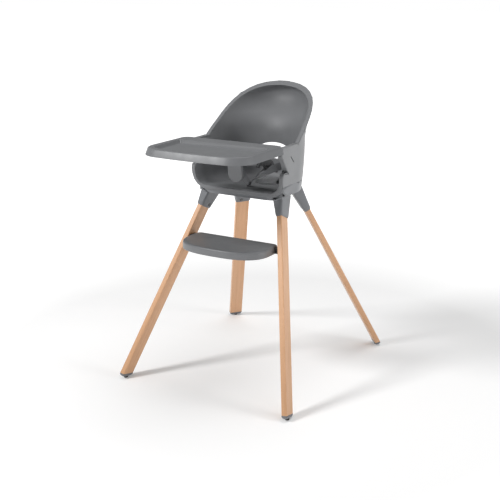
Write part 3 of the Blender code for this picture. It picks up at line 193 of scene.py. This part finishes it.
def build_brushed_metal():
    """Fine turned or drawn scratches across a metal part."""
    tree, given, result = new_group(
        "brushed_metal",
        [("Vector", "NodeSocketVector", None), ("Color", "NodeSocketColor", (0.6, 0.6, 0.6, 1))],
        [("Color", "NodeSocketColor"), ("Roughness", "NodeSocketFloat"), ("Height", "NodeSocketFloat")])
    scratches = noise(tree, given.outputs["Vector"], 2600.0, 4.0, 0.7)
    patches = noise(tree, given.outputs["Vector"], 160.0, 2.0, 0.5)
    dull = remap(tree, patches, 0.35, 0.7, 0.0, 0.35)
    link(tree, mix_colors(tree, dull, given.outputs["Color"], (0.42, 0.41, 0.39)), result.inputs["Color"])
    link(tree, remap(tree, scratches, 0.3, 0.7, 0.24, 0.42), result.inputs["Roughness"])
    link(tree, scratches, result.inputs["Height"])
    return tree


def build_weave():
    """Woven cloth from a map in metres: warp and weft threads, with a painted highlight on the raised threads
    and painted shade between them.
    """
    tree, given, result = new_group(
        "weave",
        [("Vector", "NodeSocketVector", None), ("Color", "NodeSocketColor", (0.1, 0.1, 0.1, 1)),
         ("Thread", "NodeSocketFloat", 900.0)],
        [("Color", "NodeSocketColor"), ("Roughness", "NodeSocketFloat"), ("Height", "NodeSocketFloat")])
    split = node(tree, "ShaderNodeSeparateXYZ")
    link(tree, given.outputs["Vector"], split.inputs[0])
    waves = []
    for axis in ("X", "Y"):
        turns = maths(tree, "MULTIPLY", split.outputs[axis], given.outputs["Thread"])
        waves.append(maths(tree, "SINE", maths(tree, "MULTIPLY", turns, 2 * math.pi), 0.0))
    checker = maths(tree, "MULTIPLY", waves[0], waves[1])
    ridges = maths(tree, "MULTIPLY", maths(tree, "ADD", waves[0], waves[1]), 0.22)
    fuzz = noise(tree, given.outputs["Vector"], 2400.0, 3.0, 0.7)
    height = maths(tree, "ADD", maths(tree, "ADD", maths(tree, "MULTIPLY", checker, 0.5), ridges),
                   maths(tree, "MULTIPLY", fuzz, 0.5))
    link(tree, height, result.inputs["Height"])
    # Colour follows thread height: painted highlight on the raised threads, painted shade in the low places
    # between them.
    shade = remap(tree, height, -0.5, 1.0, 0.62, 1.28)
    scaled = node(tree, "ShaderNodeVectorMath", operation="SCALE")
    link(tree, given.outputs["Color"], scaled.inputs[0])
    link(tree, shade, scaled.inputs["Scale"])
    link(tree, scaled.outputs[0], result.inputs["Color"])
    link(tree, remap(tree, fuzz, 0.3, 0.7, 0.72, 0.95), result.inputs["Roughness"])
    return tree


moulded_grain = build_moulded_grain()
beech_figure = build_beech_figure()
brushed_metal = build_brushed_metal()
weave = build_weave()


# ---------------------------------------------------------------- materials

GRAIN_DEPTH = 0.00012
WOOD_DEPTH = 0.00015
METAL_DEPTH = 0.00004
METAL_BUMP = 0.15
CLOTH_DEPTH = 0.0003


def group_material(name, group, values, bump, depth, coordinates="Object", turn=None, shader_values=()):
    """A Principled material fed by one shader group, with its height on a Bump node."""
    made = bpy.data.materials.new(name)
    made.use_nodes = True
    tree = made.node_tree
    shader = tree.nodes["Principled BSDF"]
    for label, value in shader_values:
        shader.inputs[label].default_value = value
    source = node(tree, "ShaderNodeTexCoord")
    vector = source.outputs[coordinates]
    if turn is not None:
        mapping = node(tree, "ShaderNodeMapping")
        mapping.inputs["Rotation"].default_value = turn
        link(tree, vector, mapping.inputs["Vector"])
        vector = mapping.outputs["Vector"]
    made_group = node(tree, "ShaderNodeGroup")
    made_group.node_tree = group
    link(tree, vector, made_group.inputs["Vector"])
    for label, value in values.items():
        made_group.inputs[label].default_value = value
    link(tree, made_group.outputs["Color"], shader.inputs["Base Color"])
    link(tree, made_group.outputs["Roughness"], shader.inputs["Roughness"])
    relief = node(tree, "ShaderNodeBump")
    relief.inputs["Strength"].default_value = bump
    relief.inputs["Distance"].default_value = depth
    link(tree, made_group.outputs["Height"], relief.inputs["Height"])
    link(tree, relief.outputs["Normal"], shader.inputs["Normal"])
    return made


def plastic(name, color, roughness, grain=1500.0, bump=0.22):
    """Moulded plastic of one colour."""
    return group_material(name, moulded_grain, {"Color": (*color, 1), "Roughness": roughness, "Grain": grain},
                          bump, GRAIN_DEPTH, shader_values=(("Specular IOR Level", 0.42),))


shell_grey = plastic("shell_grey", (0.215, 0.219, 0.226), 0.46)
# The shell's grey made darker: painted shade for the shadowed insides of the seat and hood, and for the
# crotch post under the tray.
inner_grey_painted_shade = plastic("inner_grey_painted_shade", (0.165, 0.169, 0.176), 0.52)
tray_grey = plastic("tray_grey", (0.165, 0.169, 0.176), 0.42, bump=0.16)
socket_grey = plastic("socket_grey", (0.175, 0.181, 0.192), 0.40)
buckle_black = plastic("buckle_black", (0.028, 0.029, 0.031), 0.34, 2200.0)
pad_rubber = plastic("pad_rubber", (0.035, 0.035, 0.036), 0.82, 1100.0, 0.4)
dark_steel = group_material("blackened_steel", brushed_metal, {"Color": (0.085, 0.085, 0.088, 1)},
                            METAL_BUMP, METAL_DEPTH, shader_values=(("Metallic", 1.0),))
turned_brass = group_material("turned_brass", brushed_metal, {"Color": (0.72, 0.53, 0.26, 1)},
                              METAL_BUMP, METAL_DEPTH, shader_values=(("Metallic", 1.0),))
belt = group_material("belt_webbing", weave, {"Color": (0.150, 0.154, 0.162, 1), "Thread": 700.0},
                      0.75, CLOTH_DEPTH, "UV", shader_values=(("Sheen Weight", 0.25),))
pad_cloth = group_material("pad_cloth", weave, {"Color": (0.210, 0.214, 0.222, 1), "Thread": 520.0},
                           0.6, CLOTH_DEPTH, "UV", shader_values=(("Sheen Weight", 0.35),))


def leg_axis(name):
    """Which way a leg runs, from the middles of its two ends."""
    points = sorted((v.co for v in nodes[name].data.vertices), key=lambda p: p.z)
    quarter = len(points) // 4
    low = sum(points[:quarter], Vector()) / quarter
    high = sum(points[-quarter:], Vector()) / quarter
    return (high - low).normalized()


def beech(name):
    """Lacquered beech whose figure runs along one leg."""
    turn = leg_axis(name).rotation_difference(Vector((0, 0, 1))).to_euler()
    return group_material("beech_" + name, beech_figure,
                          {"Light": (0.725, 0.425, 0.240, 1), "Dark": (0.600, 0.325, 0.168, 1)},
                          0.10, WOOD_DEPTH, turn=turn,
                          shader_values=(("Coat Weight", 0.35), ("Coat Roughness", 0.28)))


def finish_with(name, material):
    """Gives a CAD node its finish."""
    mesh = nodes[name].data
    if not mesh.materials:
        mesh.materials.append(material)
    for slot in nodes[name].material_slots:
        slot.material = material


# ------------------------------------------------------------ moulded pieces

MERGE_DISTANCE = 0.00001
FLAT_ANGLE = math.radians(0.4)
CREASE_ANGLE = math.radians(32)
SHARP_EDGE = 0.55
BROAD_FACE_WEIGHT = 80


def merged_copy(name, whole_flats):
    """A bmesh of a CAD node with its loose triangles joined and, if asked, its flats made whole."""
    work = bmesh.new()
    work.from_mesh(nodes[name].data)
    bmesh.ops.remove_doubles(work, verts=work.verts, dist=MERGE_DISTANCE)
    if whole_flats:
        bmesh.ops.dissolve_limit(work, angle_limit=FLAT_ANGLE, verts=work.verts, edges=work.edges,
                                 delimit={"NORMAL"})
    return work


def edges_where(work, test):
    """Sharp edges whose place or faces pass a test."""
    found = []
    for edge in work.edges:
        if len(edge.link_faces) == 2 and edge.calc_face_angle(0.0) > SHARP_EDGE and test(edge):
            found.append(edge)
    return found


def facing(normal, share):
    """Passes edges with a face that looks a given way."""
    way = Vector(normal).normalized()
    return lambda edge: any(face.normal.dot(way) > share for face in edge.link_faces)


def soften(work, edges, width, steps, clamp):
    """Rounds some edges."""
    if edges:
        bmesh.ops.bevel(work, geom=edges, offset=width, offset_type="OFFSET", segments=steps,
                        profile=0.5, affect="EDGES", clamp_overlap=clamp)


def weigh_normals(piece):
    """Lets the broad faces carry the shading, so that flats stay flat beside round edges."""
    bpy.ops.object.select_all(action="DESELECT")
    piece.select_set(True)
    bpy.context.view_layer.objects.active = piece
    step = piece.modifiers.new("weighted", "WEIGHTED_NORMAL")
    step.keep_sharp = True
    step.weight = BROAD_FACE_WEIGHT
    bpy.ops.object.modifier_apply(modifier=step.name)


def moulded(name, material, shape=None):
    """A finished piece in the place of a CAD node, with smooth surfaces and softened edges."""
    work = merged_copy(name, shape is not None)
    if shape:
        shape(work)
    bmesh.ops.triangulate(work, faces=[face for face in work.faces if len(face.verts) > 4])
    mesh = bpy.data.meshes.new(name + "_form")
    work.to_mesh(mesh)
    work.free()
    piece = bpy.data.objects.new(name + "_form", mesh)
    bpy.context.scene.collection.objects.link(piece)
    mesh.materials.append(material)
    mesh.shade_smooth()
    mesh.set_sharp_from_angle(angle=CREASE_ANGLE)
    weigh_normals(piece)
    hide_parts(name)
    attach(piece, body_of_node[name])


body_of_node = {}
for body, members in frame["record"]["behaviour"]["bodies"].items():
    for member in members:
        body_of_node[member] = body

RIM_NORMAL = (0, -0.594, 0.805)


def round_tub(work):
    """The seat's front rims."""
    front = facing((0, -1, 0.08), 0.93)
    soften(work, edges_where(work, front), 0.0030, 3, False)


def round_hood(work):
    """Both arrises of the hood's broad rim."""
    soften(work, edges_where(work, facing(RIM_NORMAL, 0.97)), 0.0034, 4, False)


def round_caps(work):
    """The armrests' top edges."""
    soften(work, edges_where(work, facing((0, 0, 1), 0.97)), 0.0026, 3, False)


def ease_all(width):
    """Takes the sharpness off every edge of a small piece."""
    return lambda work: soften(work, edges_where(work, lambda edge: True), width, 2, True)


FINISHES = (
    ("seat_tub", inner_grey_painted_shade, "grey_plastic", round_tub),
    ("backrest", inner_grey_painted_shade, "grey_plastic", round_hood),
    ("outer_shell", shell_grey, "grey_plastic", round_caps),
    ("backrest_cover", shell_grey, "grey_plastic", None),
    ("leg_base", socket_grey, "grey_plastic", None),
    ("tray", tray_grey, "grey_plastic", None),
    ("footrest", tray_grey, "grey_plastic", None),
    ("crotch_post", inner_grey_painted_shade, "grey_plastic", None),
    ("tray_lock_slider", buckle_black, "dark_plastic", ease_all(0.0006)),
)
for name, material, slot, shape in FINISHES:
    moulded(name, material, shape)

for name in nodes:
    if name.startswith(("leg_front", "leg_rear")):
        moulded(name, beech(name))
    elif name.startswith("leg_insert"):
        finish_with(name, turned_brass)
    elif "screw" in name or "bolt" in name:
        moulded(name, dark_steel)
    elif name.startswith("foot_pad"):
        moulded(name, pad_rubber, ease_all(0.0006))
    elif name.startswith("foot_cap"):
        moulded(name, socket_grey)
    elif name.startswith(("tray_latch", "footrest_bracket")):
        moulded(name, buckle_black, ease_all(0.0008))
    elif name.startswith(("strap_adjuster", "buckle")):
        moulded(name, buckle_black, ease_all(0.0005))


LIP_FRONT = -0.0865
LIP_BACK = -0.0825
LIP_FOOT = 0.5845
LIP_GAP = 0.0006
LIP_START = 0.092
LIP_STEP = 0.0034
LIP_COLUMNS = 17


def make_base_lip(label, sign):
    """A short upright lip that closes the base up to the seat's rounded corner."""
    tub = BVHTree.FromBMesh(merged_copy("seat_tub", False))
    columns = []
    for i in range(LIP_COLUMNS):
        x = sign * (LIP_START + LIP_STEP * i)
        start = Vector((x, (LIP_FRONT + LIP_BACK) / 2, LIP_FOOT))
        hit = tub.ray_cast(start, Vector((0, 0, 1)))[0]
        if hit:
            columns.append((x, hit.z - LIP_GAP))
    work = bmesh.new()
    rings = []
    for x, top in columns:
        rings.append([work.verts.new(place) for place in
                      ((x, LIP_FRONT, LIP_FOOT), (x, LIP_BACK, LIP_FOOT),
                       (x, LIP_BACK, top), (x, LIP_FRONT, top))])
    for first, second in zip(rings, rings[1:]):
        for k in range(4):
            j = (k + 1) % 4
            work.faces.new((first[k], first[j], second[j], second[k]))
    work.faces.new(rings[0][::-1])
    work.faces.new(rings[-1])
    bmesh.ops.recalc_face_normals(work, faces=work.faces)
    mesh = bpy.data.meshes.new("base_lip_" + label)
    work.to_mesh(mesh)
    work.free()
    piece = bpy.data.objects.new("base_lip_" + label, mesh)
    bpy.context.scene.collection.objects.link(piece)
    mesh.materials.append(socket_grey)
    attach(piece, "chair")


make_base_lip("left", -1)
make_base_lip("right", 1)


# ------------------------------------------------------------------ harness

WEB_THICKNESS = 0.0014
WEB_CREASE = math.radians(60)
WAIST_WIDTH = 0.0245
TAIL_WIDTH = 0.0235
STEPS_BETWEEN = 10
BUCKLE_X = 0.066


def smooth_line(points):
    """A smooth curve through points."""
    padded_points = [2 * points[0] - points[1]] + list(points) + [2 * points[-1] - points[-2]]
    line = []
    for i in range(1, len(padded_points) - 2):
        before, start, end, after = padded_points[i - 1:i + 3]
        for k in range(STEPS_BETWEEN):
            t = k / STEPS_BETWEEN
            line.append(0.5 * (2 * start + (end - before) * t
                               + (2 * before - 5 * start + 4 * end - after) * t ** 2
                               + (3 * start - before - 3 * end + after) * t ** 3))
    line.append(points[-1])
    return line


def mapped_piece(name, verts, faces, maps, material):
    """A smooth piece from its points and faces, with one map place for each point."""
    mesh = bpy.data.meshes.new(name)
    mesh.from_pydata([tuple(v) for v in verts], [], faces)
    uv = mesh.uv_layers.new(name="UVMap")
    for loop in mesh.loops:
        uv.data[loop.index].uv = maps[loop.vertex_index]
    work = bmesh.new()
    work.from_mesh(mesh)
    bmesh.ops.recalc_face_normals(work, faces=work.faces)
    work.to_mesh(mesh)
    work.free()
    piece = bpy.data.objects.new(name, mesh)
    bpy.context.scene.collection.objects.link(piece)
    mesh.materials.append(material)
    mesh.shade_smooth()
    return piece


def ribbon(name, points, sides, width):
    """Flat webbing along a smooth curve, with its map in metres. sides are its crosswise ways."""
    line = smooth_line([Vector(point) for point in points])
    ways = smooth_line([Vector(side).normalized() for side in sides])
    across = (-0.5, -0.46, -0.2, 0.0, 0.2, 0.46, 0.5)
    verts, maps, faces = [], [], []
    travelled = 0.0
    for i, middle in enumerate(line):
        ahead = line[min(i + 1, len(line) - 1)] - line[max(i - 1, 0)]
        side = ways[i] - ahead.normalized() * ways[i].dot(ahead.normalized())
        side.normalize()
        face = ahead.cross(side).normalized()
        if i:
            travelled += (line[i] - line[i - 1]).length
        for layer in (1, -1):
            for share in (across if layer > 0 else across[::-1]):
                thick = WEB_THICKNESS * (0.5 if abs(share) < 0.48 else 0.18)
                verts.append(middle + side * share * width + face * thick * layer)
                maps.append((travelled, share * width))
    count = 2 * len(across)
    for i in range(len(line) - 1):
        for k in range(count):
            j = (k + 1) % count
            a, b = i * count, (i + 1) * count
            faces.append((a + k, a + j, b + j, b + k))
    faces.append(tuple(range(count))[::-1])
    faces.append(tuple((len(line) - 1) * count + k for k in range(count)))
    piece = mapped_piece(name, verts, faces, maps, belt)
    piece.data.set_sharp_from_angle(angle=WEB_CREASE)
    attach(piece, "chair")
    return piece


def strap_ends(name):
    """The two ends and the crosswise way of a straight CAD strap, its buckle end first."""
    points = np.array([v.co for v in nodes[name].data.vertices])
    middle = points.mean(axis=0)
    ways = np.linalg.svd(points - middle, full_matrices=False)[2]
    reach = (points - middle) @ ways[0]
    ends = [Vector(middle + ways[0] * reach.min()), Vector(middle + ways[0] * reach.max())]
    ends.sort(key=lambda p: abs(p.x - BUCKLE_X))
    return ends[0], ends[1], Vector(ways[1])


TONGUE_REACH = 0.0175
SLOT_REACH = 0.005
LEFT_SLACK = 0.010
RIGHT_SLACK = 0.002
LEFT_TWIST = 0.25


def make_waist_strap(label):
    """Webbing from the tongue's eye to the slot in the seat's side, with a little slack."""
    name = "waist_strap_" + label
    near, far, side = strap_ends(name)
    run = (far - near).normalized()
    if side.z > 0:
        side = -side
    start = near - run * TONGUE_REACH
    stop = far + run * SLOT_REACH
    slack = LEFT_SLACK if label == "left" else RIGHT_SLACK
    points, sides = [], []
    for share in (0.0, 0.12, 0.3, 0.5, 0.7, 0.88, 1.0):
        drop = slack * 4 * share * (1 - share)
        points.append(start.lerp(stop, share) - Vector((0, 0, drop)))
        twist = LEFT_TWIST * math.sin(share * math.pi * 2) if label == "left" else 0.0
        sides.append(side + Vector((0, 0, twist)))
    piece = ribbon("waist_webbing_" + label, points, sides, WAIST_WIDTH)
    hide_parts(name)
    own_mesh(piece)


def make_strap_tails():
    """The free ends of the waist straps, which hang from the adjusters onto the seat."""
    low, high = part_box("strap_adjuster_right")
    middle = (low + high) / 2
    ribbon("strap_tail_right",
           [middle + Vector((-0.004, -0.020, 0.006)), middle + Vector((-0.020, -0.034, 0.000)),
            middle + Vector((-0.046, -0.040, -0.018)), middle + Vector((-0.078, -0.036, -0.034)),
            middle + Vector((-0.102, -0.030, -0.050))],
           [(0.2, 0.3, -1), (0.3, 0.5, -0.9), (0.2, 0.9, -0.4), (0.1, 1, -0.15), (0, 1, 0.1)], TAIL_WIDTH)
    low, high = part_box("strap_adjuster_left")
    middle = (low + high) / 2
    ribbon("strap_tail_left",
           [middle + Vector((0.010, -0.014, 0.004)), middle + Vector((0.032, -0.030, 0.002)),
            middle + Vector((0.050, -0.038, -0.018)), middle + Vector((0.064, -0.034, -0.045)),
            middle + Vector((0.082, -0.030, -0.066))],
           [(0.1, 0.2, -1), (0.5, 0.4, -0.8), (0.9, 0.5, -0.2), (0.6, 0.9, 0.1), (0.2, 1, 0.1)], TAIL_WIDTH)


def make_crotch_webbing():
    """The crotch strap: up from the seat floor, through its padded sleeve, to the buckle's back."""
    low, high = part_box("crotch_strap")
    foot = Vector((low.x + 0.001, (low.y + high.y) / 2 - 0.010, low.z + 0.0022))
    hook = Vector((high.x - 0.002, -0.026, high.z - 0.012))
    piece = ribbon("crotch_webbing",
                   [foot, foot + Vector((0.004, 0, 0.010)), foot + Vector((0.020, 0.004, 0.026)),
                    hook + Vector((-0.020, 0.0, -0.010)), hook],
                   [(0, 1, -0.06), (0, 1, 0), (0, 1, 0.2), (0, 0.8, 0.5), (0, 0.67, 0.72)], TAIL_WIDTH)
    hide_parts("crotch_strap")


PAD_HALF_WIDTH = 0.0205
PAD_CROWN = 0.0112
PAD_LIFT = 0.0125
PAD_LENGTH = 0.09
CHANNELS = (0.33, 0.67)
CHANNEL_DEPTH = 0.10
CHANNEL_WIDTH = 0.02


def make_crotch_pad():
    """A padded sleeve: two crowned faces with a piped seam and two channels, open at both ends."""
    low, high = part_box("crotch_pad")
    left = Vector((low.x + 0.002, (low.y + high.y) / 2 + 0.006, low.z + PAD_LIFT))
    right = Vector((high.x - 0.002, (low.y + high.y) / 2 - 0.006, high.z - PAD_LIFT))
    along = (right - left).normalized()
    across = (Vector((0, 1, 0)) - along * along.y).normalized()
    up = along.cross(across).normalized()
    if up.z < 0:
        up = -up
    around, rows = 56, 34
    verts, maps, faces = [], [], []

    def ring(share, fullness, pull):
        middle = left.lerp(right, share)
        for k in range(around):
            angle = 2 * math.pi * k / around
            c, s = math.cos(angle), math.sin(angle)
            wide = math.copysign(abs(c) ** 0.80, c) * PAD_HALF_WIDTH * (0.94 + 0.06 * fullness)
            crown = s * (abs(s) ** 0.25) * PAD_CROWN * fullness
            wrinkle = 0.0005 * math.sin(share * 41 + 2.2 * math.cos(angle)) * (1 - abs(s)) ** 0.5
            piping = 0.0009 * math.exp(-(s / 0.10) ** 2)
            verts.append(middle + across * (wide + math.copysign(piping, c)) + up * (crown + wrinkle)
                         + along * pull)
            maps.append((share * PAD_LENGTH, angle * 0.006))

    for i in range(rows + 1):
        share = i / rows
        fullness = (1 - abs(2 * share - 1) ** 4.0) ** 0.5 * 0.55 + 0.45
        fullness *= 1 - sum(CHANNEL_DEPTH * math.exp(-((share - place) / CHANNEL_WIDTH) ** 2)
                            for place in CHANNELS)
        ring(share, fullness, 0.0)
    for depth, fullness in ((0.004, 0.30), (0.014, 0.26)):
        ring(1.0, fullness, -depth)
    inner_rows = rows + 3
    for i in range(inner_rows - 1):
        for k in range(around):
            j = (k + 1) % around
            faces.append((i * around + k, i * around + j, (i + 1) * around + j, (i + 1) * around + k))
    last = (inner_rows - 1) * around
    faces.append(tuple(last + k for k in range(around)))
    start = len(verts)
    for depth, fullness in ((0.004, 0.30), (0.016, 0.26)):
        ring(0.0, fullness, depth)
    for k in range(around):
        j = (k + 1) % around
        faces.append((j, k, start + k, start + j))
        faces.append((start + j, start + k, start + around + k, start + around + j))
    faces.append(tuple(start + around + k for k in range(around))[::-1])
    piece = mapped_piece("crotch_pad_cover", verts, faces, maps, pad_cloth)
    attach(piece, "chair")
    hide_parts("crotch_pad")


make_waist_strap("left")
make_waist_strap("right")
make_strap_tails()
make_crotch_webbing()
make_crotch_pad()


# ------------------------------------------------------- floor, light, camera

def make_floor():
    """A plain pale floor that whitens with distance."""
    bpy.ops.mesh.primitive_plane_add(size=60, location=(0, 0, 0))
    floor = bpy.context.object
    floor.name = "studio_floor"
    white = bpy.data.materials.new("studio_white")
    white.use_nodes = True
    tree = white.node_tree
    shader = tree.nodes["Principled BSDF"]
    shader.inputs["Emission Color"].default_value = (1, 1, 1, 1)
    place = node(tree, "ShaderNodeTexCoord")
    reach = node(tree, "ShaderNodeVectorMath", operation="LENGTH")
    link(tree, place.outputs["Object"], reach.inputs[0])
    glow = remap(tree, reach.outputs["Value"], 0.9, 2.4, 0.16, 1.0)
    link(tree, glow, shader.inputs["Emission Strength"])
    shader.inputs["Base Color"].default_value = (0.86, 0.86, 0.86, 1)
    shader.inputs["Roughness"].default_value = 0.9
    shader.inputs["Specular IOR Level"].default_value = 0.1
    floor.data.materials.append(white)


def make_light(name, place, aim, size, power):
    """A round soft lamp aimed at a point."""
    data = bpy.data.lights.new(name, "AREA")
    data.shape = "DISK"
    data.size = size
    data.energy = power
    lamp = bpy.data.objects.new(name, data)
    bpy.context.scene.collection.objects.link(lamp)
    lamp.location = place
    lamp.rotation_euler = (Vector(aim) - Vector(place)).to_track_quat("-Z", "Y").to_euler()


def make_world(strength):
    """Even pale light from all round, white behind the chair."""
    world = bpy.data.worlds.new("studio")
    bpy.context.scene.world = world
    world.use_nodes = True
    tree = world.node_tree
    background = tree.nodes["Background"]
    background.inputs["Color"].default_value = (1, 1, 1, 1)
    background.inputs["Strength"].default_value = strength
    seen = node(tree, "ShaderNodeBackground")
    seen.inputs["Color"].default_value = (1, 1, 1, 1)
    seen.inputs["Strength"].default_value = 1.0
    ray = node(tree, "ShaderNodeLightPath")
    choice = node(tree, "ShaderNodeMixShader")
    link(tree, ray.outputs["Is Camera Ray"], choice.inputs[0])
    link(tree, background.outputs[0], choice.inputs[1])
    link(tree, seen.outputs[0], choice.inputs[2])
    link(tree, choice.outputs[0], tree.nodes["World Output"].inputs["Surface"])


CAMERA_AZIMUTH = math.radians(30.48)
CAMERA_ELEVATION = math.radians(16.55)
CAMERA_DISTANCE = 2.982
CAMERA_TARGET = Vector((-0.0278, 0.0199, 0.3759))
CAMERA_LENS = 66.57


def make_camera():
    """The camera, in front and to the right of the chair."""
    data = bpy.data.cameras.new("studio_camera")
    data.lens = CAMERA_LENS
    data.sensor_width = 36
    camera = bpy.data.objects.new("studio_camera", data)
    bpy.context.scene.collection.objects.link(camera)
    back = Vector((math.sin(CAMERA_AZIMUTH) * math.cos(CAMERA_ELEVATION),
                   -math.cos(CAMERA_AZIMUTH) * math.cos(CAMERA_ELEVATION),
                   math.sin(CAMERA_ELEVATION)))
    camera.location = CAMERA_TARGET + back * CAMERA_DISTANCE
    camera.rotation_euler = back.to_track_quat("Z", "Y").to_euler()
    bpy.context.scene.camera = camera


make_floor()
make_world(0.20)
make_light("key_softbox", (-1.9, -2.7, 3.0), (0, 0, 0.5), 0.9, 108)
make_light("top_softbox", (0.3, 0.4, 3.6), (0, 0, 0.4), 2.4, 46)
make_light("side_softbox", (3.2, 0.35, 1.3), (0, 0, 0.5), 1.3, 32)
make_camera()
bpy.context.scene.view_settings.view_transform = "Standard"
